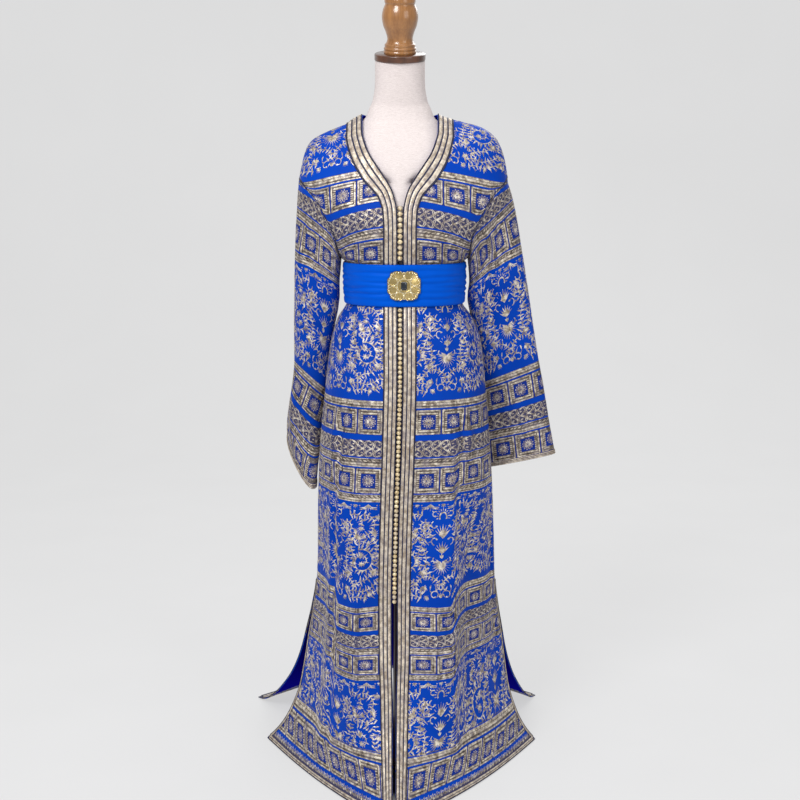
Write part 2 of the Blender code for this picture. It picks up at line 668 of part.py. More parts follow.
def outline(left, right, front, back, steps, power=ROUNDNESS):
    """A closed ring in plan with its own reach on each of its four sides."""
    turn = np.arange(steps) * 2 * math.pi / steps
    wide = np.where(np.cos(turn) < 0, left, right)
    deep = np.where(np.sin(turn) < 0, front, back)
    x = np.sign(np.cos(turn)) * np.abs(np.cos(turn)) ** (2 / power) * wide
    y = np.sign(np.sin(turn)) * np.abs(np.sin(turn)) ** (2 / power) * deep
    return x, y


def belt_reach(share):
    """The belt's inner reach on its four sides, from its top edge at 0 to its bottom edge at 1."""
    reach = []
    for name in ("left", "right", "front", "back"):
        edges = [read(SECTIONS, name, height) for height in (BELT_TOP, BELT_BOTTOM)]
        reach.append(mix(*edges, share) + BELT_CLEAR + BELT_BULGE * 4 * share * (1 - share))
    return reach


def make_belt():
    rings = []
    for share in (0.0, 0.5, 1.0):
        x, y = outline(*belt_reach(share), BELT_STEPS)
        rings.append(np.stack([x, y, np.full(BELT_STEPS, mix(BELT_TOP, BELT_BOTTOM, share))], 1))
    points = np.array(rings)
    normals = normals_of(points, wrap=True)
    normals[..., 2] = 0
    normals /= np.linalg.norm(normals, axis=2, keepdims=True)
    add_object("belt", *wall(points, normals, 0, BELT, wrap=True), "satin")


def belt_front(x):
    """How far the belt's face stands in front of the middle plane, at its mid height."""
    left, right, front, _ = np.max([belt_reach(share) for share in (0, 0.5, 1)], axis=0)
    wide = np.where(x < 0, left, right) + BELT
    return (front + BELT) * (1 - np.abs(x / wide) ** ROUNDNESS) ** (1 / ROUNDNESS)


def plate(name, rings, material):
    """A closed solid through rings of (x, z, out), lying on the belt and bent to it."""
    middle = (BELT_TOP + BELT_BOTTOM) / 2 + BUCKLE_RISE
    solid = []
    for ring in rings:
        x, z, out = np.array(ring).T
        x = x + BUCKLE_X
        solid.append(np.stack([x, -belt_front(x) - SEAM - out, z + middle], 1))
    ring_solid(name, solid, material)


def make_buckle():
    """An oval plate with a wavy edge and a raised middle, and the stone set on it."""
    turn = np.arange(BUCKLE_SIDES) * 2 * math.pi / BUCKLE_SIDES
    waves = 1 + BUCKLE_SCALLOP * np.cos(6 * turn)
    squareness = 0.85
    x = np.sign(np.cos(turn)) * np.abs(np.cos(turn)) ** squareness * BUCKLE_WIDTH / 2
    z = np.sign(np.sin(turn)) * np.abs(np.sin(turn)) ** squareness * BUCKLE_HEIGHT / 2
    rings = []
    for scale, out in BUCKLE_STEPS:
        wave = waves if scale > 0.9 else 1
        rings.append(np.stack([x * wave * scale, z * wave * scale, np.full(BUCKLE_SIDES, out)], 1))
    plate("buckle", rings, "gold")
    rings = []
    for scale, out in STONE_STEPS:
        wide, tall, cut = np.array(STONE) * scale
        corners = [(wide - cut, -tall), (wide, cut - tall), (wide, tall - cut), (wide - cut, tall)]
        corners += [(-x, -z) for x, z in corners]
        rings.append([(x, z, out + STONE_SEAT) for x, z in corners])
    plate("buckle_stone", rings, "stone")


def placket_line(heights):
    """Points down the middle of the front opening, at the panels' outer face."""
    edge = np.full((len(heights), 1), -1.0)
    left = panel("front", -1, edge, heights)[:, 0]
    right = panel("front", 1, edge, heights)[:, 0]
    line = (left + right) / 2
    line[:, 1] -= CLOTH / 2
    return line


def make_buttons(name, top, bottom):
    """A cord with a round knot at each pitch, as one body."""
    sides = BUTTON_SIDES
    count = int((top - bottom) / BUTTON_PITCH)
    shape = ((0.0, BUTTON_CORD), (0.32, BUTTON_RADIUS), (0.68, BUTTON_RADIUS))
    heights, radii = [], []
    for n in range(count):
        for share, radius in shape:
            heights.append(top - (n + share) * BUTTON_PITCH)
            radii.append(radius)
    heights.append(top - count * BUTTON_PITCH)
    radii.append(BUTTON_CORD)
    line = placket_line(np.array(heights))
    along = np.gradient(line, axis=0)
    along /= np.linalg.norm(along, axis=1, keepdims=True)
    forward = np.array([0, -1.0, 0]) - along * (along @ [0, -1.0, 0])[:, None]
    forward /= np.linalg.norm(forward, axis=1, keepdims=True)
    sideways = np.cross(along, forward)
    turn = np.arange(sides) * 2 * math.pi / sides
    vertices, faces = [], []
    for point, radius, f, s in zip(line, radii, forward, sideways):
        middle = point + f * BUTTON_FORWARD
        for angle in turn:
            vertices.append(middle + radius * (math.sin(angle) * f - math.cos(angle) * s))
    for ring in range(len(radii) - 1):
        for n in range(sides):
            after = (n + 1) % sides
            a, b = ring * sides, (ring + 1) * sides
            faces.append((a + n, b + n, b + after, a + after))
    faces.append(tuple(range(sides)))
    last = (len(radii) - 1) * sides
    faces.append(tuple(last + n for n in reversed(range(sides))))
    add_object(name, vertices, faces, "braid", flip=True)


def ring_solid(name, rings, material, flip=False):
    """A closed solid through rings of points, capped at both ends."""
    sides = len(rings[0])
    faces = []
    for level in range(len(rings) - 1):
        for n in range(sides):
            after = (n + 1) % sides
            a, b = level * sides, (level + 1) * sides
            faces.append((a + n, a + after, b + after, b + n))
    faces.append(tuple(reversed(range(sides))))
    last = (len(rings) - 1) * sides
    faces.append(tuple(last + n for n in range(sides)))
    return add_object(name, [p for ring in rings for p in ring], faces, material, flip)


def tilted(points, centre, degrees):
    """Points given about a centre, leant to the front."""
    x, y, z = points
    lean = math.radians(degrees)
    sine, cosine = math.sin(lean), math.cos(lean)
    return np.stack([x + centre[0], y * cosine - z * sine + centre[1], y * sine + z * cosine + centre[2]], 1)


def turned(name, profile, centre, base, sides, material, degrees=0):
    """A turned piece whose axis passes through the centre, starting at a height along it."""
    turn = np.arange(sides) * 2 * math.pi / sides
    rings = []
    for step in profile:
        ring = (step.radius * np.cos(turn), step.radius * np.sin(turn), np.full(sides, base + step.height))
        rings.append(tilted(ring, centre, degrees))
    return ring_solid(name, rings, material)


def form_ring(ring, lean=0.0):
    x, y = outline(ring.width, ring.width, ring.front, ring.back, FORM_SIDES)
    return tilted((x, y, np.zeros(FORM_SIDES)), (0, -lean, ring.height), ring.tilt)


def shoulder_ring(height):
    """A ring of the form that follows the shoulders of the cloth, a little inside it."""
    outs = np.linspace(0.05, 0.215, 400)
    reach = outs[np.argmax(ridge(-1, outs) < height + FORM_GAP)] - FORM_GAP
    reach = min(reach, 0.190 - max(0, 1.345 - height) * 0.30)
    x, limit = outline(reach, reach, 1, 1, FORM_SIDES)
    deep = []
    for face in ("front", "back"):
        wall_at = depth(face, -1, np.abs(x), height + FORM_GAP) - FORM_GAP
        deep.append(np.clip(np.minimum(wall_at, wall_at.max() * np.abs(limit) ** 1.1), 0, None))
    y = np.where(limit < 0, -deep[0], deep[1])
    y[np.abs(limit) < 1e-6] = 0
    return np.stack([x, y, np.full(FORM_SIDES, height)], 1)


def make_form():
    """The limbless dress form, its turned neck, and the stand that carries it."""
    rings = [form_ring(ring) for ring in TORSO]
    rings += [shoulder_ring(height) for height in SHOULDER_RINGS]
    low, high = NECK[0].height, NECK[-1].height
    rings += [form_ring(ring, NECK_LEAN * (ring.height - low) / (high - low)) for ring in NECK]
    ring_solid("form_torso", rings, "linen")
    top, tilt = (0, -NECK_LEAN, high), NECK[-1].tilt
    turned("form_neck_cap", CAP, top, SEAM, CAP_SIDES, "dark_wood", tilt)
    turned("form_finial", FINIAL, top, CAP_HEIGHT + 2 * SEAM, CAP_SIDES, "wood", tilt)
    pole_top = TORSO[0].height - STAND_HEIGHT - 2 * SEAM
    pole = (Turn(POLE_RADIUS, 0), Turn(POLE_RADIUS, pole_top))
    turned("stand_pole", pole, (0, 0, 0), STAND_HEIGHT + SEAM, POLE_SIDES, "dark_wood")
    base = (
        Turn(STAND_RADIUS, 0.0),
        Turn(STAND_RADIUS, 0.010),
        Turn(STAND_RADIUS - 0.006, 0.014),
        Turn(0.040, STAND_HEIGHT),
    )
    turned("stand_base", base, (0, 0, 0), 0.0, STAND_SIDES, "dark_wood")


def clear_scene():
    for thing in list(bpy.data.objects):
        bpy.data.objects.remove(thing, do_unlink=True)


def make_materials():
    made = {}
    for name, (colour, roughness, metallic) in COLOURS.items():
        material = bpy.data.materials.new(name)
        material.use_nodes = True
        shader = material.node_tree.nodes["Principled BSDF"]
        shader.inputs["Base Color"].default_value = (*colour, 1)
        shader.inputs["Roughness"].default_value = roughness
        shader.inputs["Metallic"].default_value = metallic
        made[name] = material
    return made


clear_scene()
materials = make_materials()
row_levels = levels(YOKE_ROWS, SKIRT_ROWS)
fronts = {side: make_front(side, name, row_levels) for side, name in ((-1, "left"), (1, "right"))}
backs = make_back(row_levels)
for side, name in ((-1, "left"), (1, "right")):
    make_sleeve(side, name, fronts[side], backs[side])
make_belt()
make_buckle()
make_buttons("buttons_upper", VEE + 0.008, BELT_TOP + 0.002)
make_buttons("buttons_lower", BELT_BOTTOM - 0.002, LAST_BUTTON)
make_form()
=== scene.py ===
"""The looks of a brocade kaftan with its sash belt on a dress form.

Metres, +Z up, the front faces -Y. "left" and "right" are the sides seen from the front. Cloth is
made as fine grids on the solids' own forms, with their creases, and each grid carries the flat
place of its points in the cut cloth, so that the woven figures follow the folds.
"""

import math
from collections import namedtuple

import bpy
import numpy as np
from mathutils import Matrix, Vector
from mathutils.bvhtree import BVHTree


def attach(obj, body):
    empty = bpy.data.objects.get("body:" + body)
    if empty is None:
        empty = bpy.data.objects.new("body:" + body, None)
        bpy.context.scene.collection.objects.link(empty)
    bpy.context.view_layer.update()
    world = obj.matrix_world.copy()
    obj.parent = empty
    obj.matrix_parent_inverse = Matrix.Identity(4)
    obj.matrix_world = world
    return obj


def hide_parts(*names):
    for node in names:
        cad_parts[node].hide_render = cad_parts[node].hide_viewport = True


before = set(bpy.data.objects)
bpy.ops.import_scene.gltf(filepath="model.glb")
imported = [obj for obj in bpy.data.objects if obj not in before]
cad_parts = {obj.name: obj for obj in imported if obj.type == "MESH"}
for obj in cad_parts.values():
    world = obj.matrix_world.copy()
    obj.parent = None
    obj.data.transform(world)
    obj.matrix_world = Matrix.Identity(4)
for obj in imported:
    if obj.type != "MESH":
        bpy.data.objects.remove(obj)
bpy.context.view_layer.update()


def table_of(columns, *rows):
    """Rows of values with named columns."""
    row = namedtuple("Row", columns)
    return tuple(row(*values) for values in rows)


# Sizes shared with the solids
CLOTH = 0.0020
SEAM = 0.0003
TRIM_WIDTH = 0.0090
FRONT_OPENING = 0.0056
NECK_POINT = 1.446
BACK_NECK = 1.431
VEE = 1.245
ARMPIT = 1.135
SHOULDER_END = 1.300
FLARE = 0.460
SLIT_TOP = 0.400
ROUNDING = 0.105
BELT = 0.0030
BELT_TOP = 1.1270
BELT_BOTTOM = 1.0360
BELT_CLEAR = 0.0045
BELT_BULGE = 0.0020
BUCKLE_WIDTH = 0.0710
BUCKLE_HEIGHT = 0.0640
BUCKLE_X = 0.0085
BUCKLE_RISE = 0.0010
BUTTON_PITCH = 0.0117
LOWER_PITCH = 0.0100
BUTTON_RADIUS = 0.0053
LOWER_RADIUS = 0.0047
LAST_BUTTON = 0.387
FORM_GAP = 0.0070
NECK_LEAN = 0.0100
FLOOR_GAP = 0.0004
STAND_RADIUS = 0.150
STAND_HEIGHT = 0.022
POLE_RADIUS = 0.016

# How finely the cloth is made
CELL = 0.0060
BAND_STEP = 0.0070
YOKE_ROWS = 56
YOKE_CROWDING = 1.35
PANEL_CELLS = int(0.27 / CELL)  # cells across half a panel, beside its braid
FRONT_BRAID_CELLS = 6
BACK_BRAID_CELLS = 18
STRIPE_STEPS = 5  # points across a stripe of braid
STRIP_STEPS = 9  # points across the strip that it lies on

# The woven pattern: heights of its bands, measured down the cloth from the top of the first border
REPEAT = 0.447
BORDER_1 = (0.000, 0.016)
SQUARES_1 = (0.0190, 0.0740)
GUILLOCHE = (0.0830, 0.1250)
BORDER_2 = (0.1250, 0.1440)
SQUARES_2 = (0.1465, 0.2015)
BORDER_3 = (0.2035, 0.2200)
FLOWERS = (0.2240, 0.4330)
SQUARE_PITCH = 0.0580
SQUARES_FROM = 0.0345  # how far from the middle the squares of the fronts start
UPRIGHT_FROM = {-1: 0.148, 1: 0.103}
FACING_ROWS = 8  # rows of cloth turned up inside the back's hem
FACING_REACH = 0.12  # how far its figures run from each corner
RELIEF = 0.00045  # how far the metal thread stands off the cloth
THREAD_RIM = -0.0001  # its edges end just under the cloth's face
PIPING_WIDTH = 0.0044  # the piping round an armhole
PIPING_HEIGHT = 0.0011
STRIP_HEIGHT = 0.0009  # the strip of a braid, at its middle
STRIPE_FOOT = SEAM + STRIP_HEIGHT * 0.8
CUFF_BRAID = 0.0100
HEM_BAND = 0.108
PANEL_REPEATS = range(-1, 3)  # repeats of the pattern down a front or the back
SLEEVE_REPEATS = (-1, 0)

# How far the robe reaches from its middle at each height
SECTIONS = table_of(
    "height left right front back",
    (0.460, 0.187, 0.2145, 0.172, 0.188),
    (0.550, 0.186, 0.2115, 0.166, 0.175),
    (0.700, 0.1805, 0.2035, 0.160, 0.158),
    (0.830, 0.168, 0.192, 0.152, 0.143),
    (0.950, 0.1525, 0.1790, 0.137, 0.120),
    (1.000, 0.1380, 0.1610, 0.126, 0.106),
    (1.040, 0.1155, 0.1355, 0.111, 0.090),
    (1.080, 0.1130, 0.1330, 0.108, 0.087),
    (1.120, 0.1140, 0.1340, 0.111, 0.089),
    (1.135, 0.1280, 0.1480, 0.121, 0.094),
    (1.180, 0.1660, 0.1830, 0.138, 0.105),
    (1.220, 0.1960, 0.2130, 0.138, 0.110),
    (1.260, 0.2190, 0.2360, 0.130, 0.112),
    (1.300, 0.2320, 0.2470, 0.118, 0.110),
    (1.340, 0.2320, 0.2470, 0.103, 0.102),
    (1.380, 0.2320, 0.2470, 0.086, 0.091),
    (1.420, 0.2320, 0.2470, 0.067, 0.078),
    (1.470, 0.2320, 0.2470, 0.045, 0.062),
)

# How far out the shoulder line is at each height
SHOULDER = table_of(
    "height left right",
    (1.540, 0.000, 0.000),
    (1.512, 0.040, 0.040),
    (1.474, 0.062, 0.062),
    (NECK_POINT, 0.080, 0.080),
    (1.436, 0.099, 0.104),
    (1.428, 0.110, 0.136),
    (1.420, 0.126, 0.168),
    (1.410, 0.152, 0.190),
    (1.398, 0.178, 0.2055),
    (1.385, 0.196, 0.2145),
    (1.360, 0.2085, 0.2250),
    (1.330, 0.2155, 0.2320),
    (SHOULDER_END, 0.2216, 0.2359),
)

# How far out the front edge is from the opening's middle, and the width of its braid
NECKLINE = table_of(
    "height out braid",
    (0.000, 0.0030, 0.0300),
    (0.180, 0.0035, 0.0300),
    (0.300, FRONT_OPENING, 0.0300),
    (1.200, FRONT_OPENING, 0.0300),
    (VEE, 0.0066, 0.0315),
    (1.262, 0.0095, 0.0325),
    (1.285, 0.0165, 0.0340),
    (1.310, 0.0310, 0.0360),
    (1.335, 0.0475, 0.0370),
    (1.360, 0.0640, 0.0370),
    (1.385, 0.0745, 0.0365),
    (1.410, 0.0810, 0.0355),
    (NECK_POINT, 0.0820, 0.0340),
)

# Where the armhole runs, as a share of the robe's half width
ARMHOLE = table_of(
    "height share",
    (ARMPIT, 1.000),
    (1.148, 0.955),
    (1.165, 0.890),
    (1.200, 0.815),
    (1.240, 0.810),
    (1.275, 0.850),
    (SHOULDER_END, 0.955),
)

# Where the front opening's middle runs
CENTRE_LINE = table_of(
    "height x",
    (0.000, -0.0125),
    (0.390, -0.0125),
    (0.550, -0.0095),
    (0.750, -0.0030),
    (0.900, 0.0000),
    (1.450, 0.0000),
)

# How far the skirt has run out to its hem at each height
FLARES = table_of(
    "height front back",
    (0.000, 1.000, 1.000),
    (0.004, 0.975, 0.930),
    (0.014, 0.890, 0.850),
    (0.040, 0.715, 0.720),
    (0.077, 0.545, 0.580),
    (0.137, 0.365, 0.400),
    (0.197, 0.270, 0.275),
    (0.280, 0.160, 0.155),
    (0.320, 0.100, 0.100),
    (0.400, 0.020, 0.020),
    (FLARE, 0.000, 0.000),
)

# The hem on the floor: how far off its middle is, where its corner is, and its bulge
Hem = namedtuple("Hem", "middle corner_x corner_y bulge")
HEMS = {
    ("front", -1): Hem(0.440, -0.313, 0.024, 0.012),
    ("front", 1): Hem(0.440, 0.318, 0.016, 0.016),
    ("back", -1): Hem(0.520, -0.360, 0.285, 0.015),
    ("back", 1): Hem(0.520, 0.345, 0.298, 0.015),
}

# Large folds of the skirt: place across, width, lowest and highest point, step and ridge
FOLDS = table_of(
    "face side across width low high step ridge",
    ("front", -1, 0.57, 0.055, 0.00, 0.68, 0.046, 0.012),
    ("front", -1, 0.30, 0.120, 0.05, 0.80, 0.010, 0.006),
    ("front", 1, 0.37, 0.060, 0.02, 0.68, 0.052, 0.014),
    ("front", 1, 0.80, 0.080, 0.10, 0.90, 0.000, -0.009),
    ("back", -1, 0.22, 0.070, 0.00, 0.95, 0.000, 0.018),
    ("back", -1, 0.48, 0.070, 0.00, 0.88, 0.010, -0.016),
    ("back", -1, 0.74, 0.080, 0.00, 0.80, 0.012, 0.014),
    ("back", 1, 0.18, 0.080, 0.00, 0.90, 0.000, -0.015),
    ("back", 1, 0.42, 0.070, 0.00, 0.96, 0.008, 0.017),
    ("back", 1, 0.70, 0.080, 0.00, 0.82, 0.012, -0.013),
)

# Key rings of each sleeve: the inner and outer edge and half the width between its faces
CUFF_COLUMNS = "inner outer half"
SLEEVES = {
    -1: table_of(
        CUFF_COLUMNS,
        ((-0.1360, 0.014, 1.085), (-0.2285, 0.004, 1.215), 0.050),
        ((-0.1385, 0.022, 1.030), (-0.2330, 0.010, 1.118), 0.043),
        ((-0.1610, 0.050, 0.930), (-0.2350, 0.026, 1.005), 0.042),
        ((-0.1680, 0.066, 0.830), (-0.2400, 0.060, 0.900), 0.040),
        ((-0.1830, 0.062, 0.735), (-0.2480, 0.098, 0.815), 0.031),
        ((-0.1950, 0.034, 0.662), (-0.2560, 0.130, 0.755), 0.023),
        ((-0.1980, 0.014, 0.606), (-0.2590, 0.146, 0.704), 0.018),
    ),
    1: table_of(
        CUFF_COLUMNS,
        ((0.1560, 0.012, 1.085), (0.2520, 0.002, 1.245), 0.050),
        ((0.1535, 0.024, 1.035), (0.2700, 0.004, 1.145), 0.040),
        ((0.1745, 0.054, 0.950), (0.2890, 0.018, 1.035), 0.033),
        ((0.1790, 0.070, 0.860), (0.3080, 0.036, 0.925), 0.028),
        ((0.1830, 0.080, 0.780), (0.3280, 0.050, 0.832), 0.024),
        ((0.1870, 0.084, 0.710), (0.3430, 0.060, 0.752), 0.021),
        ((0.1880, 0.086, 0.641), (0.3575, 0.066, 0.679), 0.020),
    ),
}
CUFF_PATTERN = 0.2110  # where the cuff's edge falls in the pattern
SLEEVE_TILT = 0.055  # how much higher the stripes sit on the inner side of a sleeve's top

# Rings of the dress form, then the profiles of its cap and finial
RING_COLUMNS = "height width front back tilt"
TORSO = table_of(
    RING_COLUMNS,
    (0.760, 0.140, 0.098, 0.100, 0),
    (0.775, 0.150, 0.108, 0.112, 0),
    (0.850, 0.153, 0.112, 0.122, 0),
    (0.920, 0.143, 0.106, 0.112, 0),
    (0.980, 0.126, 0.099, 0.093, 0),
    (1.040, 0.111, 0.093, 0.078, 0),
    (1.085, 0.108, 0.092, 0.076, 0),
    (1.130, 0.114, 0.101, 0.082, 0),
    (1.180, 0.130, 0.124, 0.092, 0),
    (1.220, 0.145, 0.128, 0.098, 0),
    (1.260, 0.163, 0.122, 0.101, 0),
)
SHOULDER_RINGS = (1.300, 1.335, 1.362, 1.384, 1.400, 1.413, 1.425, 1.436)
NECK = table_of(
    RING_COLUMNS,
    (1.4600, 0.0665, 0.0440, 0.0560, 1),
    (1.4760, 0.0597, 0.0440, 0.0535, 3),
    (1.5080, 0.0545, 0.0460, 0.0520, 7),
    (1.5605, 0.0540, 0.0490, 0.0520, 12),
)

TURN_COLUMNS = "radius height"
CAP = table_of(
    TURN_COLUMNS,
    (0.0525, 0.0),
    (0.0553, 0.0020),
    (0.0553, 0.0125),
    (0.0530, 0.0145),
)
FINIAL = table_of(
    TURN_COLUMNS,
    (0.0350, 0.0000),
    (0.0358, 0.0035),
    (0.0345, 0.0072),
    (0.0352, 0.0105),
    (0.0332, 0.0142),
    (0.0334, 0.0185),
    (0.0300, 0.0220),
    (0.0275, 0.0310),
    (0.0310, 0.0450),
    (0.0365, 0.0590),
    (0.0391, 0.0760),
    (0.0370, 0.0900),
    (0.0320, 0.1035),
    (0.0334, 0.1080),
    (0.0328, 0.1150),
    (0.0235, 0.1215),
    (0.0230, 0.1280),
    (0.0270, 0.1370),
    (0.0245, 0.1480),
    (0.0120, 0.1550),
)

# Creases of each piece, in flat metres: from one end to the other, how wide and how deep
CREASE_COLUMNS = "u0 v0 u1 v1 width depth"
CREASES = {
    ("front", -1): table_of(
        CREASE_COLUMNS,
        (0.060, 0.255, 0.055, 0.330, 0.007, -0.0030),
        (0.082, 0.250, 0.085, 0.345, 0.008, 0.0035),
        (0.102, 0.250, 0.108, 0.320, 0.007, -0.0032),
        (0.120, 0.250, 0.128, 0.370, 0.008, 0.0030),
        (0.150, 0.150, 0.080, 0.120, 0.012, -0.0035),
        (0.140, 0.175, 0.060, 0.190, 0.009, 0.0030),
        (0.160, 0.100, 0.110, 0.040, 0.014, 0.0035),
        (0.100, 0.500, 0.110, 0.800, 0.020, 0.0050),
        (0.060, 0.620, 0.070, 0.900, 0.016, -0.0035),
        (0.150, 0.560, 0.140, 0.720, 0.014, 0.0040),
        (0.112, 0.430, 0.122, 0.660, 0.008, -0.0060),
        (0.124, 0.600, 0.140, 0.880, 0.009, -0.0070),
        (0.140, 0.820, 0.152, 1.080, 0.010, -0.0070),
        (0.130, 0.440, 0.142, 0.640, 0.010, 0.0050),
        (0.040, 0.880, 0.050, 1.060, 0.012, -0.0035),
    ),
    ("front", 1): table_of(
        CREASE_COLUMNS,
        (0.055, 0.255, 0.052, 0.310, 0.007, -0.0028),
        (0.085, 0.250, 0.092, 0.350, 0.008, 0.0036),
        (0.112, 0.250, 0.120, 0.330, 0.008, -0.0036),
        (0.140, 0.250, 0.150, 0.400, 0.010, 0.0036),
        (0.170, 0.160, 0.090, 0.125, 0.012, -0.0035),
        (0.150, 0.185, 0.070, 0.185, 0.009, 0.0028),
        (0.170, 0.090, 0.130, 0.030, 0.014, 0.0035),
        (0.095, 0.470, 0.120, 0.700, 0.018, 0.0050),
        (0.065, 0.700, 0.075, 0.960, 0.018, -0.0035),
        (0.170, 0.480, 0.180, 0.640, 0.014, -0.0040),
        (0.128, 0.440, 0.126, 0.660, 0.008, -0.0060),
        (0.124, 0.600, 0.116, 0.860, 0.009, -0.0065),
        (0.114, 0.800, 0.104, 1.060, 0.010, -0.0065),
        (0.150, 0.450, 0.146, 0.620, 0.010, 0.0050),
        (0.190, 0.700, 0.200, 0.900, 0.012, -0.0040),
    ),
    ("back", -1): table_of(
        CREASE_COLUMNS,
        (0.020, 0.250, 0.025, 0.360, 0.010, 0.0040),
        (0.055, 0.250, 0.060, 0.330, 0.009, -0.0035),
        (0.095, 0.250, 0.105, 0.390, 0.010, 0.0040),
        (0.020, 0.185, 0.120, 0.120, 0.014, 0.0040),
        (0.015, 0.130, 0.090, 0.080, 0.014, -0.0030),
        (0.080, 0.450, 0.100, 0.760, 0.020, 0.0050),
    ),
    ("back", 1): table_of(
        CREASE_COLUMNS,
        (0.040, 0.250, 0.045, 0.340, 0.010, -0.0038),
        (0.075, 0.250, 0.085, 0.370, 0.010, 0.0042),
        (0.120, 0.250, 0.130, 0.330, 0.009, -0.0034),
        (0.040, 0.180, 0.140, 0.130, 0.014, 0.0040),
        (0.030, 0.100, 0.110, 0.060, 0.016, -0.0030),
        (0.100, 0.480, 0.110, 0.800, 0.020, -0.0045),
    ),
    ("sleeve", -1): table_of(
        CREASE_COLUMNS,
        (0.020, -0.330, 0.060, -0.200, 0.010, 0.0045),
        (0.000, -0.300, 0.030, -0.180, 0.009, -0.0040),
        (-0.040, -0.200, 0.040, -0.150, 0.011, 0.0040),
        (-0.050, -0.120, 0.050, -0.070, 0.010, -0.0045),
        (-0.030, -0.060, 0.060, -0.010, 0.012, 0.0040),
        (0.020, 0.040, -0.010, 0.200, 0.012, 0.0035),
        (0.130, -0.300, 0.160, -0.100, 0.014, 0.0045),
        (0.150, -0.050, 0.130, 0.150, 0.013, -0.0040),
    ),
    ("sleeve", 1): table_of(
        CREASE_COLUMNS,
        (-0.050, -0.350, -0.030, -0.080, 0.012, -0.0060),
        (-0.030, -0.340, 0.010, -0.120, 0.010, 0.0050),
        (0.020, -0.330, 0.045, -0.220, 0.009, -0.0040),
        (-0.020, -0.080, 0.060, 0.010, 0.014, 0.0040),
        (0.000, 0.050, 0.010, 0.200, 0.012, 0.0035),
        (-0.060, -0.020, -0.040, 0.180, 0.012, -0.0040),
        (0.150, -0.280, 0.170, -0.080, 0.014, 0.0045),
        (0.160, -0.020, 0.150, 0.170, 0.013, -0.0040),
    ),
}


# The cloth's form


def column(table, name):
    return np.array([getattr(row, name) for row in table], float)


def smooth(knots, values, at):
    """A cubic through the values that never overshoots them, held level past both ends."""
    if knots[0] > knots[-1]:
        knots, values = knots[::-1], values[::-1]
    step = np.diff(knots)
    slope = np.diff(values) / step
    tangent = np.concatenate([slope[:1], np.zeros(len(slope) - 1), slope[-1:]])
    same = slope[:-1] * slope[1:] > 0
    near = 2 * step[1:] + step[:-1]
    far = step[1:] + 2 * step[:-1]
    with np.errstate(divide="ignore", invalid="ignore"):
        mean = (near + far) / (near / slope[:-1] + far / slope[1:])
    tangent[1:-1] = np.where(same, mean, 0.0)
    at = np.clip(np.asarray(at, float), knots[0], knots[-1])
    i = np.clip(np.searchsorted(knots, at) - 1, 0, len(step) - 1)
    t = (at - knots[i]) / step[i]
    rise = values[i] * (1 + 2 * t) * (1 - t) ** 2 + values[i + 1] * t * t * (3 - 2 * t)
    return rise + step[i] * (tangent[i] * t * (1 - t) ** 2 - tangent[i + 1] * t * t * (1 - t))


def read(table, name, at, key="height"):
    return smooth(column(table, key), column(table, name), at)


def mix(low, high, share):
    return low + (high - low) * share


def ease(t):
    t = np.clip(t, 0, 1)
    return t * t * (3 - 2 * t)


def unit(vectors):
    return vectors / np.linalg.norm(vectors, axis=-1, keepdims=True)


def half_width(side, height):
    return read(SECTIONS, "left" if side < 0 else "right", height)


def ridge(side, out):
    """Height of the shoulder line this far out from the middle."""
    return read(SHOULDER, "height", np.abs(out), key="left" if side < 0 else "right")


def depth(face, side, out, height):
    """How far the cloth stands in front of, or behind, the middle plane."""
    share = np.clip(np.abs(out) / half_width(side, height), 0, 1)
    full = read(SECTIONS, face, height) * np.power(1 - share**2.2, 1 / 2.2)
    fall = np.clip((ridge(side, out) - height) / ROUNDING, 0, 1)
    return full * np.sqrt(1 - (1 - fall) ** 2)


def outer_height(level):
    """The height at the armhole or side of the row that starts at this height in the middle."""
    ratio = (SHOULDER_END - ARMPIT) / (NECK_POINT - ARMPIT)
    return np.where(level > ARMPIT, ARMPIT + (level - ARMPIT) * ratio, level)


def shoulder_pull(level):
    return np.clip((level - VEE) / (NECK_POINT - VEE), 0, 1) ** 1.5


def armhole_angle(level):
    return np.arcsin(np.clip(read(ARMHOLE, "share", outer_height(level)), 0, 1))


def skirt_folds(face, side, across, height):
    out = np.zeros(np.broadcast(across, height).shape)
    for fold in FOLDS:
        if (fold.face, fold.side) != (face, side):
            continue
        reach = np.clip((fold.high - height) / 0.22, 0, 1) * np.clip((height - fold.low) / 0.16, 0, 1)
        reach = reach * reach * (3 - 2 * reach)
        away = (across - fold.across) / fold.width
        ends = np.clip(across * 5, 0, 1) * np.clip((1 - across) * 5, 0, 1)
        step = fold.step * (0.5 - 1 / (1 + np.exp(-3 * away)))
        out += reach * ends * (step + fold.ridge * np.exp(-away * away))
    return out


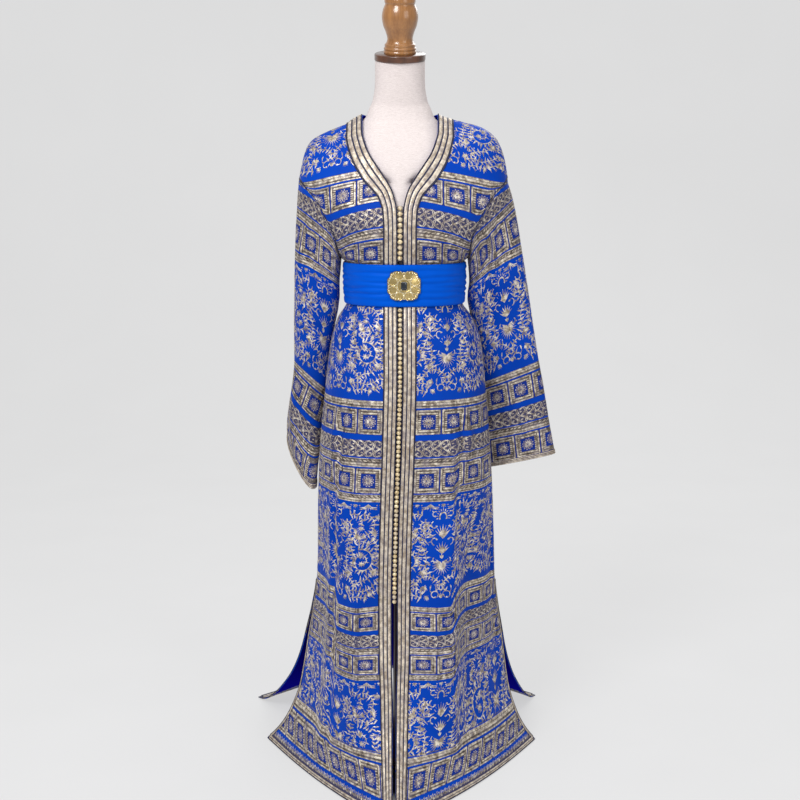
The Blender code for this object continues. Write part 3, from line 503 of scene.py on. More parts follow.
def panel(face, side, across, level):
    """Points of the middle of a panel's wall, for half the front or half the back.

    Across it, 0 is where the braid's width ends and 1 the side; below 0 the run is to the middle.
    """
    level = level[:, None]
    top = np.maximum(level, FLARE)
    pull = shoulder_pull(top)
    z_out = outer_height(top)
    angle_out = armhole_angle(top)
    out_out = half_width(side, z_out) * np.sin(angle_out)
    if face == "front":
        edge = read(NECKLINE, "out", level)
        slope = (read(NECKLINE, "out", top + 0.002) - read(NECKLINE, "out", top - 0.002)) / 0.004
        slope = np.where(top > VEE - 0.02, slope, 0) * (1 - pull)
        braid = read(NECKLINE, "braid", top)
        length = np.sqrt(1 + slope**2)
        out_braid = edge + braid / length
        z_braid = top - braid * slope / length
        z_braid = mix(z_braid, ridge(side, out_braid) - (ridge(side, edge) - top), pull)
        inner = np.clip(across + 1, 0, 1)
        out_inner = mix(edge, out_braid, inner)
        z_inner = mix(top, z_braid, inner)
    else:
        neck = NECKLINE[-1].out
        rise = (BACK_NECK - ARMPIT) / (NECK_POINT - ARMPIT)
        z_middle = np.where(top > ARMPIT, ARMPIT + (top - ARMPIT) * rise, top)
        inner = np.clip((across + 2) / 2, 0, 1)
        neck_share = (neck + NECKLINE[-1].braid) / half_width(side, NECK_POINT)
        angle_neck = mix(angle_out * 0.24, np.arcsin(neck_share), pull)
        z_far = ridge(side, neck + NECKLINE[-1].braid) - (NECK_POINT - top)
        z_braid = mix(mix(z_middle, z_out, 0.24), z_far, pull)
        out_braid = half_width(side, z_braid) * np.sin(angle_neck)
        out_inner = out_braid * inner
        curve = BACK_NECK + (NECK_POINT - BACK_NECK) * np.clip(out_inner / neck, 0, 1) ** 2
        z_top = np.where(out_inner < neck, curve, ridge(side, out_inner))
        z_inner = mix(mix(z_middle, z_braid, inner), z_top - (NECK_POINT - top), pull)
    share = np.clip(across, 0, 1)
    angle = mix(np.arcsin(np.clip(out_braid / half_width(side, z_braid), 0, 1)), angle_out, share)
    z_level = mix(z_braid, z_out, share)
    out_far = half_width(side, z_level) * np.sin(angle)
    drop = mix(ridge(side, out_braid) - z_braid, ridge(side, out_out) - z_out, share)
    z_far = mix(z_level, ridge(side, out_far) - drop, pull)
    out = np.where(across > 0, out_far, out_inner)
    z = np.where(across > 0, z_far, z_inner)
    y = depth(face, side, out, z)
    middle = read(CENTRE_LINE, "x", level) * (face == "front")
    fade = np.clip(1.3 * (1 - out / half_width(side, z)), 0, 1)
    x = side * out + middle * fade
    x, y, z = run_out(face, side, across, level, x, y, z)
    y = y + skirt_folds(face, side, np.clip(across, 0, 1), z)
    return np.stack([x, -y if face == "front" else y, z], -1)


def run_out(face, side, across, level, x, y, z):
    """Carries the skirt's points out to the hem on the floor."""
    hem = HEMS[face, side]
    share = read(FLARES, face, level)
    middle_x = read(CENTRE_LINE, "x", level) * (face == "front")
    start_x = middle_x + side * (read(NECKLINE, "out", level) if face == "front" else 0)
    corner_y = -hem.corner_y if face == "front" else hem.corner_y
    length = math.hypot(hem.corner_x, corner_y - hem.middle)
    braid = NECKLINE[0].braid / length if face == "front" else 0.30
    first = np.clip((across + 1) if face == "front" else (across + 2) / 2, 0, 1) * braid
    along = np.where(across > 0, mix(braid, 1, np.clip(across, 0, 1)), first)
    hem_x = mix(start_x, hem.corner_x, along) + side * hem.bulge * np.sin(math.pi * along)
    hem_y = mix(hem.middle, corner_y, along) + hem.bulge * np.sin(math.pi * along)
    floor = CLOTH / 2 + FLOOR_GAP
    height = np.where(level < FLARE, floor + level * (1 - floor / FLARE), z)
    return mix(x, hem_x, share), mix(y, hem_y, share), height


def normals_of(points, wrap=False):
    down = np.gradient(points, axis=0)
    if wrap:
        along = (np.roll(points, -1, 1) - np.roll(points, 1, 1)) / 2
    else:
        along = np.gradient(points, axis=1)
    normal = np.cross(down, along)
    return normal / np.maximum(np.linalg.norm(normal, axis=2, keepdims=True), 1e-12)


def arc(points, axis):
    """Distance along the grid's rows (axis 1) or down its columns (axis 0)."""
    step = np.linalg.norm(np.diff(points, axis=axis), axis=2)
    start = np.zeros_like(step[:1] if axis == 0 else step[:, :1])
    return np.cumsum(np.concatenate([start, step], axis), axis)


def row_levels():
    """Levels of the fine grid's rows: crowded on the shoulder, evenly spaced along the skirt."""
    yoke = NECK_POINT - (NECK_POINT - ARMPIT) * np.linspace(0, 1, YOKE_ROWS + 1) ** YOKE_CROWDING
    dense = np.linspace(ARMPIT, 0, 1500)
    line = panel("front", 1, np.full((len(dense), 1), 0.3), dense)
    run = arc(line, 0)[:, 0]
    marks = np.arange(0, run[-1] - TRIM_WIDTH, CELL)
    skirt = np.interp(marks, run, dense)[1:]
    return np.concatenate([yoke, skirt, np.linspace(skirt[-1], 0, 3)[1:]])


LEVELS = row_levels()
# Where the photo's stripes lie on the garment: heights at the front, and pattern heights
STRIPES = table_of(
    "height pattern",
    (0.236, 2 * REPEAT + 0.220),
    (0.388, 2 * REPEAT),
    (0.626, REPEAT + 0.211),
    (0.837, REPEAT),
    (BELT_BOTTOM, 0.243),
    (BELT_TOP, 0.200),
    (ARMPIT, 0.192),
)

# Where the first border starts on the chest: its height beside the opening and at the armhole
ChestLine = namedtuple("ChestLine", "middle side")
CHEST_LINE = ChestLine(1.324, 1.299)
# Beyond each deep fold of the skirt the pattern hangs higher
SHIFTS = table_of(
    "face side across width rise",
    ("front", -1, 0.45, 0.060, 0.042),
    ("front", 1, 0.34, 0.065, 0.046),
    ("back", -1, 0.50, 0.20, 0.016),
    ("back", 1, 0.62, 0.16, 0.020),
)
SHIFT_HEIGHTS = table_of(
    "height share",
    (0.060, 0.0),
    (0.220, 1.0),
    (0.300, 1.0),
    (0.380, 0.85),
    (0.630, 0.33),
    (0.790, 0.0),
)


def grid_faces(rows, columns, wrap=False):
    """Quads between the points of a grid."""
    index = np.arange(rows * columns).reshape(rows, columns)
    if wrap:
        index = np.concatenate([index, index[:, :1]], 1)
    a, b, c, d = index[:-1, :-1], index[1:, :-1], index[1:, 1:], index[:-1, 1:]
    return np.stack([a, b, c, d], -1).reshape(-1, 4)


class Cloth:
    """A grid of cloth: its points, its outward normals, and the flat place of each point."""

    def __init__(self, points, normals, across, down, wrap=False):
        self.points, self.normals, self.u, self.v, self.wrap = points, normals, across, down, wrap
        self.tree = None

    def line(self, rows, columns):
        """Flat places along part of the grid."""
        return np.stack([self.u[rows, columns], self.v[rows, columns]], 1)

    def prepare(self):
        """Readies the cloth for finding the place of a flat point."""
        rows, columns = self.u.shape
        quads = grid_faces(rows, columns)
        self.triangles = np.concatenate([quads[:, [0, 1, 2]], quads[:, [0, 2, 3]]])
        places = np.stack([self.u.ravel(), self.v.ravel(), np.zeros(self.u.size)], 1)
        self.tree = BVHTree.FromPolygons(places.tolist(), self.triangles.tolist())
        self.flat = places[:, :2]
        around = np.arange(columns) % self.points.shape[1]
        self.middle = self.points[:, around].reshape(-1, 3)
        self.lift = self.normals[:, around].reshape(-1, 3)

    def lay(self, flat, height, face_side=1):
        """Points of the outer face at flat places, lifted by a height, and whether each is on it.

        With -1 as the side they lie on the inner face.
        """
        if self.tree is None:
            self.prepare()
        found = np.zeros(len(flat), int)
        on = np.ones(len(flat), bool)
        place = np.array(flat, float)
        down = Vector((0, 0, -1))
        for n, (u, v) in enumerate(flat):
            _, _, face, _ = self.tree.ray_cast(Vector((u, v, 1)), down)
            if face is None:
                near, _, face, _ = self.tree.find_nearest(Vector((u, v, 0)), 0.003)
                if face is None:
                    on[n] = False
                    continue
                place[n] = near[:2]
            found[n] = face
        corner = self.triangles[found]
        a, b, c = (self.flat[corner[:, k]] for k in range(3))
        whole = np.cross(b - a, c - a)
        whole = np.where(np.abs(whole) < 1e-15, 1e-15, whole)
        share_b = np.cross(place - a, c - a) / whole
        share_c = np.cross(b - a, place - a) / whole
        shares = np.clip(np.stack([1 - share_b - share_c, share_b, share_c], 1), 0, 1)
        shares = (shares / shares.sum(1, keepdims=True))[..., None]
        point = (self.middle[corner] * shares).sum(1)
        normal = unit((self.lift[corner] * shares).sum(1))
        return point + normal * face_side * (CLOTH / 2 + np.asarray(height)[:, None]), on


def crease(cloth, key, fade):
    """Presses the soft troughs and ridges into a cloth along its normals."""
    lift = np.zeros_like(cloth.u)
    for fold in CREASES[key]:
        run_u, run_v = fold.u1 - fold.u0, fold.v1 - fold.v0
        length = math.hypot(run_u, run_v)
        along = ((cloth.u - fold.u0) * run_u + (cloth.v - fold.v0) * run_v) / length**2
        bow = 0.10 * length * np.sin(math.pi * np.clip(along, 0, 1))
        off = ((cloth.u - fold.u0) * run_v - (cloth.v - fold.v0) * run_u) / length - bow
        ends = ease(along / 0.35) * ease((1 - along) / 0.35)
        widths = fold.width * (0.8 + 0.5 * np.clip(along, 0, 1))
        lift += fold.depth * ends * np.exp(-((off / widths) ** 2))
    lift += 0.0006 * np.sin(31 * cloth.u + 9 * cloth.v + 1.7) * np.sin(23 * cloth.v - 12 * cloth.u)
    columns = cloth.points.shape[1]
    cloth.points = cloth.points + cloth.normals * (lift * fade)[:, :columns, None]


def make_panel(face, side):
    """Half of the front or back as a cloth, its flat places measured on the cloth itself."""
    level = LEVELS
    trial = panel(face, side, np.tile(np.linspace(0, 1, 60), (len(level), 1)), level)
    width = np.linalg.norm(np.diff(trial, axis=1), axis=2).sum(1)
    inside = 1 - TRIM_WIDTH / width
    far = np.linspace(0, 1, PANEL_CELLS + 1)[None, 1:] * inside[:, None]
    if face == "front":
        near = np.linspace(-1, 0, FRONT_BRAID_CELLS + 1)
    else:
        near = np.linspace(-2, 0, BACK_BRAID_CELLS + 1)
    rim = mix(inside[:, None], 1, np.array([[0.5, 1.0]]))
    across = np.concatenate([np.tile(near, (len(level), 1)), far, rim], 1)
    points = panel(face, side, across, level)
    normals = normals_of(points) * (side if face == "front" else -side)
    along = np.linalg.norm(np.diff(points[..., :2], axis=1), axis=2)
    u = np.concatenate([np.zeros((len(level), 1)), np.cumsum(along, 1)], 1)
    u += read(NECKLINE, "out", level)[:, None] if face == "front" else 0
    down = arc(points, 0)
    stripe_height = column(STRIPES, "height")
    v = np.interp(level, stripe_height, column(STRIPES, "pattern"))
    low = level < STRIPES[0].height
    run = arc(panel(face, side, np.full((len(level), 1), 0.4), level), 0)[:, 0]
    start = np.interp(-STRIPES[0].height, -level, run)
    v = np.where(low, STRIPES[0].pattern + run - start, v)
    v = np.tile(v[:, None], (1, points.shape[1]))
    for j in range(v.shape[1]):
        rise = down[YOKE_ROWS, j] - down[: YOKE_ROWS + 1, j]
        chest = mix(CHEST_LINE.middle, CHEST_LINE.side, np.clip(across[YOKE_ROWS, j], 0, 1))
        length = np.interp(chest, points[: YOKE_ROWS + 1, j, 2][::-1], rise[::-1])
        v[: YOKE_ROWS + 1, j] = v[YOKE_ROWS, j] * (1 - rise / length)
    for fold in SHIFTS:
        if (fold.face, fold.side) == (face, side):
            beyond = ease((across - fold.across) / fold.width + 0.5)
            v += read(SHIFT_HEIGHTS, "share", level)[:, None] * fold.rise * beyond
    cloth = Cloth(points, normals, u, v)
    edge = ease((across + 1.0) / 0.5) if face == "front" else 1
    fade = edge * ease((1 - across) / 0.12) * ease((v[-1:] - v) / 0.03) * ease(arc(points, 0) / 0.03)
    crease(cloth, (face, side), fade)
    cloth.normals = normals_of(cloth.points) * (side if face == "front" else -side)
    return cloth


def sleeve_ring(cuff, count):
    inner, outer = np.array(cuff.inner), np.array(cuff.outer)
    turn = np.arange(2 * count) * math.pi / count
    along = (1 - np.cos(turn)) / 2
    swell = np.sin(turn)
    swell = np.sign(swell) * np.abs(swell) ** 0.8
    flat = outer - inner
    across = np.cross(flat, [0, 0, 1.0]) * (1 if flat[0] > 0 else -1)
    across /= -np.linalg.norm(across) * np.sign(across[1])
    return inner + along[:, None] * flat + swell[:, None] * across * cuff.half


def spline(keys, at):
    """Points on a smooth curve through key rings, at positions counted in keys."""
    keys = np.asarray(keys)
    padded = np.concatenate([keys[:1] * 2 - keys[1:2], keys, keys[-1:] * 2 - keys[-2:-1]])
    found = []
    for position in at:
        i = min(int(position), len(keys) - 2)
        t = position - i
        a, b, c, d = padded[i : i + 4]
        cubic = -a + 3 * b - 3 * c + d
        square = 2 * a - 5 * b + 4 * c - d
        found.append(b + 0.5 * t * (c - a + t * (square + t * cubic)))
    return np.array(found)


def make_sleeve(side, front, back):
    """A hanging sleeve, from the armhole of the panels to its open cuff."""
    count = YOKE_ROWS
    edge = np.concatenate([front.points[count:0:-1, -1], back.points[:count, -1]])
    lift = np.concatenate([front.normals[count:0:-1, -1], back.normals[:count, -1]])
    inside = np.concatenate([front.points[count:0:-1, -3], back.points[:count, -3]])
    away = edge - inside
    away -= lift * (away * lift).sum(1, keepdims=True)
    away[0] = (0, 0, 1)
    away = unit(away)
    turn = np.minimum(np.arange(2 * count), 2 * count - np.arange(2 * count)) / count
    low = np.clip(1 - turn * 2.6, 0, 1)[:, None]
    start = edge + away * (SEAM + 0.0012 * low) + lift * 0.0030 * low
    keys = [start] + [sleeve_ring(cuff, count) for cuff in SLEEVES[side]]
    dense = np.linspace(0, len(keys) - 1, 300)
    run = np.linalg.norm(np.diff(spline(keys, dense).mean(1), axis=0), axis=1).cumsum()
    run = np.concatenate([[0], run])
    steps = int(run[-1] / CELL)
    places = np.interp(np.linspace(0, run[-1], steps), run, dense)
    points = spline(keys, places)
    closed = np.concatenate([points, points[:, :1]], 1)
    run_round = arc(closed, 1)
    run_round = run_round - run_round[:, count // 2 : count // 2 + 1]
    around = run_round[:, -1:] - run_round[:, :1]
    seam = int(1.5 * count)
    points = np.roll(points, count // 2, 1)
    u = np.concatenate([run_round[:, seam:-1] - around, run_round[:, : seam + 1]], 1)
    down = CUFF_PATTERN - (run[-1] - np.interp(places, dense, run))
    inner = (1 + np.cos(np.arange(2 * count + 1) * math.pi / count)) / 2
    inner = np.concatenate([inner[seam:-1], inner[: seam + 1]])
    tilt = SLEEVE_TILT * (1 - ease((down - down[0]) / (0.75 * (down[-1] - down[0]))))
    v = down[:, None] + tilt[:, None] * inner[None, :]
    cloth = Cloth(points, normals_of(points, wrap=True) * side, u, v, wrap=True)
    fade = ease((v - v[:1]) / 0.04) * ease((v[-1:] - v) / 0.03)
    crease(cloth, ("sleeve", side), fade)
    cloth.normals = normals_of(cloth.points, wrap=True) * side
    return cloth


# Woven figures, drawn flat as soft-edged strokes and laid on a cloth


class Figures:
    """Strokes on one cloth, gathered and made into one mesh."""

    def __init__(self, cloth, start, end, height=RELIEF, face=1):
        self.cloth, self.start, self.end, self.height, self.face = cloth, start, end, height, face
        self.flat, self.lift, self.faces, self.count = [], [], [], 0

    def stroke(self, path, widths):
        """A raised line along a path, with its own width at each point."""
        path = np.asarray(path, float)
        if path[:, 1].min() < self.start or path[:, 1].max() > self.end:
            return
        widths = np.broadcast_to(widths, len(path))
        along = np.gradient(path, axis=0)
        length = np.maximum(np.linalg.norm(along, axis=1, keepdims=True), 1e-9)
        side = np.stack([-along[:, 1], along[:, 0]], 1) / length * widths[:, None] / 2
        n = len(path)
        self.flat.append(np.concatenate([path - side, path, path + side]))
        self.lift.append(np.repeat([THREAD_RIM, self.height, THREAD_RIM], n))
        for first in (self.count, self.count + n):
            low = first + np.arange(n - 1)
            self.faces.append(np.stack([low, low + 1, low + n + 1, low + n], 1))
        self.count += 3 * n

    def line(self, start, end, width, steps=2):
        self.stroke(np.linspace(start, end, steps), width)

    def leaf(self, at, angle, length, width, bend=0.0):
        t = np.array([0.0, 0.42, 1.0])
        along = np.array([math.cos(angle), math.sin(angle)])
        side = np.array([-along[1], along[0]])
        path = np.asarray(at) + np.outer(t * length, along) + np.outer(t**2 * bend * length, side)
        self.stroke(path, width * np.array([0.35, 1.0, 0.15]))

    def dot(self, at, size):
        path = np.asarray(at) + np.array([[-0.5, 0], [0, 0], [0.5, 0]]) * size
        self.stroke(path, size * np.array([0.4, 1.0, 0.4]))

    def fan(self, at, angle, spread, count, length, width):
        """Petals spread about a direction, the middle one longest."""
        for n in range(count):
            share = n / (count - 1) * 2 - 1
            reach = length * (1 - 0.22 * abs(share))
            self.leaf(at, angle + share * spread / 2, reach, width, 0.12 * share)

    def build(self, name, material):
        points, on = self.cloth.lay(np.concatenate(self.flat), np.concatenate(self.lift), self.face)
        faces = np.concatenate(self.faces)
        faces = faces[on[faces].all(1)]
        used = np.unique(faces)
        place = np.zeros(len(points), int)
        place[used] = np.arange(len(used))
        return mesh_object(name, points[used], place[faces], material)


def tiles(u_range, pitch, shift=0.0):
    """The numbers of the repeats that a width of cloth needs."""
    low, high = ((u - shift) / pitch for u in u_range)
    return range(math.floor(low) - 1, math.ceil(high) + 1)


def band_line(figures, v, width, u_range):
    """A straight woven line across the cloth."""
    u = np.arange(u_range[0], u_range[1] + BAND_STEP, BAND_STEP)
    figures.stroke(np.stack([u, np.full(len(u), v)], 1), width)


UP, DOWN = -math.pi / 2, math.pi / 2
CURL_WIDTH = 0.0026


def draw_squares(figures, band, u_range, offset):
    """A row of framed squares: a pale frame, barred sides and a full rosette on blue."""
    top, bottom = band
    middle, half = (top + bottom) / 2, (bottom - top) / 2
    reach = SQUARE_PITCH / 2 - 0.0012
    for n in tiles(u_range, SQUARE_PITCH, offset):
        centre = offset + (n + 0.5) * SQUARE_PITCH

        def at(x, y):
            return (centre + x * reach, middle + y * half)

        for sign in (-1, 1):
            figures.line(at(-0.91, sign * 0.91), at(0.91, sign * 0.91), 0.0040, steps=5)
            figures.line(at(sign * 0.91, -0.91), at(sign * 0.91, 0.91), 0.0040, steps=5)
            figures.line(at(-0.76, sign * 0.68), at(0.76, sign * 0.68), 0.0042, steps=5)
            for y in np.linspace(-0.51, 0.51, 7):
                figures.line(at(sign * 0.58, y), at(sign * 0.79, y), 0.0029)
        for petal in range(12):
            angle = petal * math.pi / 6
            along = np.array([math.cos(angle), math.sin(angle)])
            figures.leaf((centre, middle) + 0.0018 * along, angle, 0.0094, 0.0030)
            tip = angle + math.pi / 12
            figures.dot((centre + 0.0122 * math.cos(tip), middle + 0.0122 * math.sin(tip)), 0.0026)


def draw_braid(figures, band, u_range):
    """Two rows of interlaced double cords that lean away from the middle, a bead in each eye."""
    top, bottom = band
    middle, half = (top + bottom) / 2, (bottom - top) / 2 - 0.0035
    pitch = SQUARE_PITCH / 3
    t = np.linspace(0, 1, 9)
    for n in tiles(u_range, 2 * pitch):
        for row in (-1, 1):
            centre = middle + row * half / 2
            for turn in (0.0, 0.5):
                rise = row * np.cos(math.tau * (t + turn)) * half / 2
                lean = row * (centre + rise - middle) / half * 0.0085
                for shift in (-0.0018, 0.0018):
                    u = (n + t) * 2 * pitch + shift + lean
                    figures.stroke(np.stack([u, centre + rise], 1), 0.0018)
            for eye in (0, 1):
                figures.leaf(((2 * n + eye) * pitch, centre), 0.0, 0.0062, 0.0036)


def draw_border(figures, band, u_range, dashed):
    """A wide metal stripe above a thin line, solid or topped with a row of slanting lengths."""
    top, bottom = band
    band_line(figures, bottom - 0.0014, 0.0026, u_range)
    if not dashed:
        band_line(figures, top + 0.0028, 0.0050, u_range)
        band_line(figures, top + 0.0080, 0.0056, u_range)
        return
    band_line(figures, top + 0.0008, 0.0014, u_range)
    band_line(figures, bottom - 0.0064, 0.0052, u_range)
    pitch = SQUARE_PITCH / 6
    line = top + (bottom - top) * 0.30
    for n in tiles(u_range, pitch):
        u = n * pitch
        path = [(u, line + 0.0012), (u + 0.45 * pitch, line), (u + 0.90 * pitch, line - 0.0012)]
        figures.stroke(path, [0.0014, 0.0036, 0.0012])


def draw_stem(figures, path, width, leaf, pitch, sides=(-1, 1)):
    """A stem with leaves along it, on one side or both, and a small flower at its end."""
    path = np.asarray(path, float)
    figures.stroke(path, mix(width, 0.7 * width, np.linspace(0, 1, len(path))))
    run = np.concatenate([[0], np.cumsum(np.linalg.norm(np.diff(path, axis=0), axis=1))])
    count = max(2, int(run[-1] / pitch))
    for n in range(count + 1):
        s = run[-1] * n / count
        near = (s, s + 0.001, s - 0.001)
        at, ahead, behind = np.stack([np.interp(near, run, path[:, k]) for k in (0, 1)], 1)
        angle = math.atan2(*(ahead - behind)[::-1])
        uneven = 1 + 0.28 * math.sin(2.7 * n + 31 * path[0, 0])
        for side in sides:
            lean = 0.62 + 0.22 * math.sin(1.9 * n + side)
            reach = leaf * uneven * (1 - 0.25 * n / count)
            figures.leaf(at, angle + side * lean, 0.88 * reach, leaf * 0.40, 0.80 * side)
            if n % 4 == 1:
                start = at + 0.9 * reach * np.array([math.cos(angle + side), math.sin(angle + side)])
                figures.dot(start, leaf * 0.28)
    figures.fan(path[-1], angle, 3.0, 7, leaf * 0.85, leaf * 0.30)


def curve(points, steps=18):
    """A smooth flat path through a few points."""
    return spline([(x, y) for x, y in points], np.linspace(0, len(points) - 1, steps))


def draw_palmette(figures, at, angle, size, spread=2.0):
    """A flower of separate petals with a filled heart, opening one way from its foot."""
    figures.fan(at, angle, spread, 7, 0.92 * size, 0.22 * size)
    figures.fan(at, angle, spread * 0.6, 5, 0.56 * size, 0.26 * size)
    for sign in (-1, 1):
        figures.leaf(at, angle + sign * (spread / 2 + 0.55), 0.62 * size, 0.20 * size, -0.5 * sign)
    figures.leaf(at, angle + math.pi, 0.36 * size, 0.18 * size)


def draw_spiral(figures, at, size, hand, start):
    """A scroll that winds in on a flower, its outer coil leafy on one side and its inner on both."""
    t = np.linspace(0, 1, 30)
    angle = start + hand * t * 3.2 * math.pi
    radius = size * (1 - 0.78 * t)
    path = np.asarray(at) + np.stack([radius * np.cos(angle), radius * np.sin(angle)], 1)
    leaf = 0.0088 * (size / 0.024) ** 0.5
    draw_stem(figures, path[:19], 0.0032, leaf * 1.25, 0.0062, (-hand,))
    draw_stem(figures, path[17:], 0.0026, leaf * 0.70, 0.0070, (-hand, hand))
    for petal in range(7):
        figures.leaf(path[-1], petal * math.tau / 7, 0.0072, 0.0034)


def draw_curl(figures, at, angle, size, hand):
    """A small hooked tendril with a leaf on its back."""
    t = np.linspace(0, 1, 8)
    turn = angle + hand * t * 4.0
    step = size * (1 - 0.55 * t) * 0.36
    path = np.asarray(at) + np.cumsum(np.stack([np.cos(turn) * step, np.sin(turn) * step], 1), 0)
    figures.stroke(path, CURL_WIDTH * (1 - 0.30 * t))
    figures.dot(path[-1], CURL_WIDTH * 1.8)
    figures.leaf(path[2], turn[2] - hand * 1.1, size * 0.42, CURL_WIDTH * 1.2, -0.3 * hand)


# Curls of an upright: place across and down from its top, direction, size and hand
UPRIGHT_CURLS = (
    ((0.011, 0.020), -0.7, 0.012, 1),
    ((0.016, 0.036), 0.2, 0.015, 1),
    ((0.018, 0.060), -0.9, 0.013, 1),
    ((0.012, 0.088), 0.0, 0.016, -1),
    ((0.014, 0.112), 0.5, 0.012, 1),
    ((0.024, 0.140), 0.2, 0.013, -1),
    ((0.006, 0.190), -0.5, 0.016, 1),
)
# The scroll at the foot of an upright, as points across and down from its top
UPRIGHT_SCROLL = (
    (0.012, 0.186),
    (0.004, 0.180),
    (0.004, 0.170),
    (0.014, 0.160),
    (0.030, 0.155),
    (0.046, 0.161),
    (0.055, 0.172),
)
# Fans of an upright: how far down its foot is, which way it opens, its spread, petals and their size
UPRIGHT_FANS = (
    (0.0735, UP, 1.30, 7, 0.0300, 0.0052),
    (0.0720, UP, 0.60, 3, 0.0170, 0.0062),
    (0.1050, UP, 1.60, 7, 0.0250, 0.0050),
    (0.1040, UP, 0.70, 3, 0.0140, 0.0060),
    (0.1160, UP, 0.80, 3, 0.0110, 0.0046),
    (0.1290, DOWN, 4.30, 17, 0.0240, 0.0032),
    (0.1270, DOWN, 4.30, 9, 0.0140, 0.0056),
    (0.2020, UP, 1.30, 5, 0.0120, 0.0034),
)


def draw_upright(figures, u, top):
    """A rayed horseshoe, a heart, a tulip and a shell, one below the other, between curls."""
    ring = np.linspace(-0.15, 1.15, 12) * math.pi
    path = np.stack([u + 0.0082 * np.cos(ring), top + 0.0290 - 0.0100 * np.sin(ring)], 1)
    figures.stroke(path, 0.0038)
    for n in range(11):
        angle = UP + (n - 5) * 0.36
        foot = (u + 0.0108 * math.cos(angle), top + 0.0285 + 0.0125 * math.sin(angle))
        figures.leaf(foot, angle, 0.0060, 0.0026)
    for down, angle, spread, count, length, width in UPRIGHT_FANS:
        figures.fan((u, top + down), angle, spread, count, length, width)
    for sign in (-1, 1):
        for at, turn, size, hand in UPRIGHT_CURLS:
            angle = turn if sign > 0 else math.pi - turn
            draw_curl(figures, (u + sign * at[0], top + at[1]), angle, size, sign * hand)
        path = curve([(u + sign * x, top + y) for x, y in UPRIGHT_SCROLL])
        draw_stem(figures, path, 0.0028, 0.0092, 0.0070)
        turn = 1.2 if sign > 0 else math.pi - 1.2
        draw_palmette(figures, (u + sign * 0.036, top + 0.178), turn, 0.0130, 1.8)
        figures.leaf((u + sign * 0.022, top + 0.174), DOWN - sign * 0.5, 0.0110, 0.0036, 0.3 * sign)
        figures.leaf((u + sign * 0.004, top + 0.192), DOWN - sign * 0.7, 0.0100, 0.0036, sign * 0.2)


# Leafy stems beside an upright, as points across and down from its top
STEMS = (
    ((0.038, 0.076), (0.050, 0.100), (0.052, 0.125), (0.044, 0.145)),
    ((0.030, 0.150), (0.036, 0.132), (0.034, 0.116), (0.040, 0.100)),
    ((0.026, 0.072), (0.032, 0.062), (0.042, 0.064), (0.048, 0.074)),
    ((0.056, 0.176), (0.068, 0.166), (0.084, 0.162), (0.096, 0.148)),
    ((0.036, 0.190), (0.056, 0.184), (0.076, 0.188), (0.096, 0.180), (0.110, 0.168)),
    ((0.110, 0.154), (0.112, 0.134), (0.103, 0.114), (0.108, 0.094), (0.100, 0.078)),
    ((0.046, 0.024), (0.060, 0.022), (0.074, 0.032), (0.072, 0.050)),
    ((0.078, 0.022), (0.094, 0.028), (0.102, 0.044), (0.094, 0.060), (0.080, 0.068)),
    ((0.092, 0.198), (0.104, 0.190), (0.116, 0.186)),
    ((0.044, 0.203), (0.062, 0.199), (0.080, 0.202)),
    ((0.058, 0.084), (0.070, 0.078), (0.086, 0.084)),
)
# Flowers beside an upright: place across and down, direction and size
BLOOMS = (
    ((0.062, 0.074), -1.2, 0.0200),
    ((0.056, 0.060), -0.4, 0.0140),
    ((0.098, 0.066), -0.6, 0.0150),
    ((0.098, 0.146), 0.5, 0.0170),
    ((0.040, 0.146), 1.3, 0.0140),
    ((0.088, 0.196), -0.4, 0.0130),
    ((0.110, 0.026), 1.6, 0.0130),
    ((0.030, 0.200), 0.9, 0.0110),
    ((0.112, 0.116), -1.5, 0.0130),
)
FLOWER_PITCH = 0.232


def draw_floret(figures, at, size):
    """A winged spray that hangs from the border."""
    figures.fan(at, DOWN, 1.7, 5, 0.90 * size, 0.17 * size)
    for sign in (-1, 1):
        for n in range(4):
            foot = (at[0] + sign * (0.16 + 0.20 * n) * size, at[1] + (0.30 + 0.07 * n) * size)
            figures.leaf(foot, DOWN - sign * (0.5 + 0.18 * n), 0.50 * size, 0.15 * size, -0.2 * sign)
        wing = ((0.0, 0.0), (0.45, 0.34), (1.15, 0.42))
        path = curve([(at[0] + sign * x * size, at[1] + y * size) for x, y in wing], 7)
        figures.stroke(path, 0.12 * size)


def draw_flowers(figures, u_range, top, shift):
    """The tall zone: uprights between pairs of leafy scrolls, and sprays hanging from the border."""
    for n in tiles(u_range, SQUARE_PITCH, shift):
        u = shift + (n + 0.5) * SQUARE_PITCH
        draw_floret(figures, (u, top + 0.0010), 0.0165)
        figures.fan((u + SQUARE_PITCH / 2, top + 0.0015), DOWN, 2.4, 5, 0.0080, 0.0028)
        for sign in (-1, 1):
            figures.dot((u + sign * 0.019, top + 0.0030), 0.0032)
    for n in tiles(u_range, FLOWER_PITCH, shift):
        u = shift + n * FLOWER_PITCH
        draw_upright(figures, u, top)
        for sign in (-1, 1):
            draw_spiral(figures, (u + sign * 0.074, top + 0.122), 0.0270, sign, -math.pi / 2 + 0.3)
            draw_spiral(figures, (u + sign * 0.038, top + 0.048), 0.0120, -sign, math.pi / 2)
            for stem in STEMS:
                path = curve([(u + sign * x, top + y) for x, y in stem])
                draw_stem(figures, path, 0.0023, 0.0104, 0.0078)
            for at, angle, size in BLOOMS:
                turn = angle if sign > 0 else math.pi - angle
                draw_palmette(figures, (u + sign * at[0], top + at[1]), turn, size)


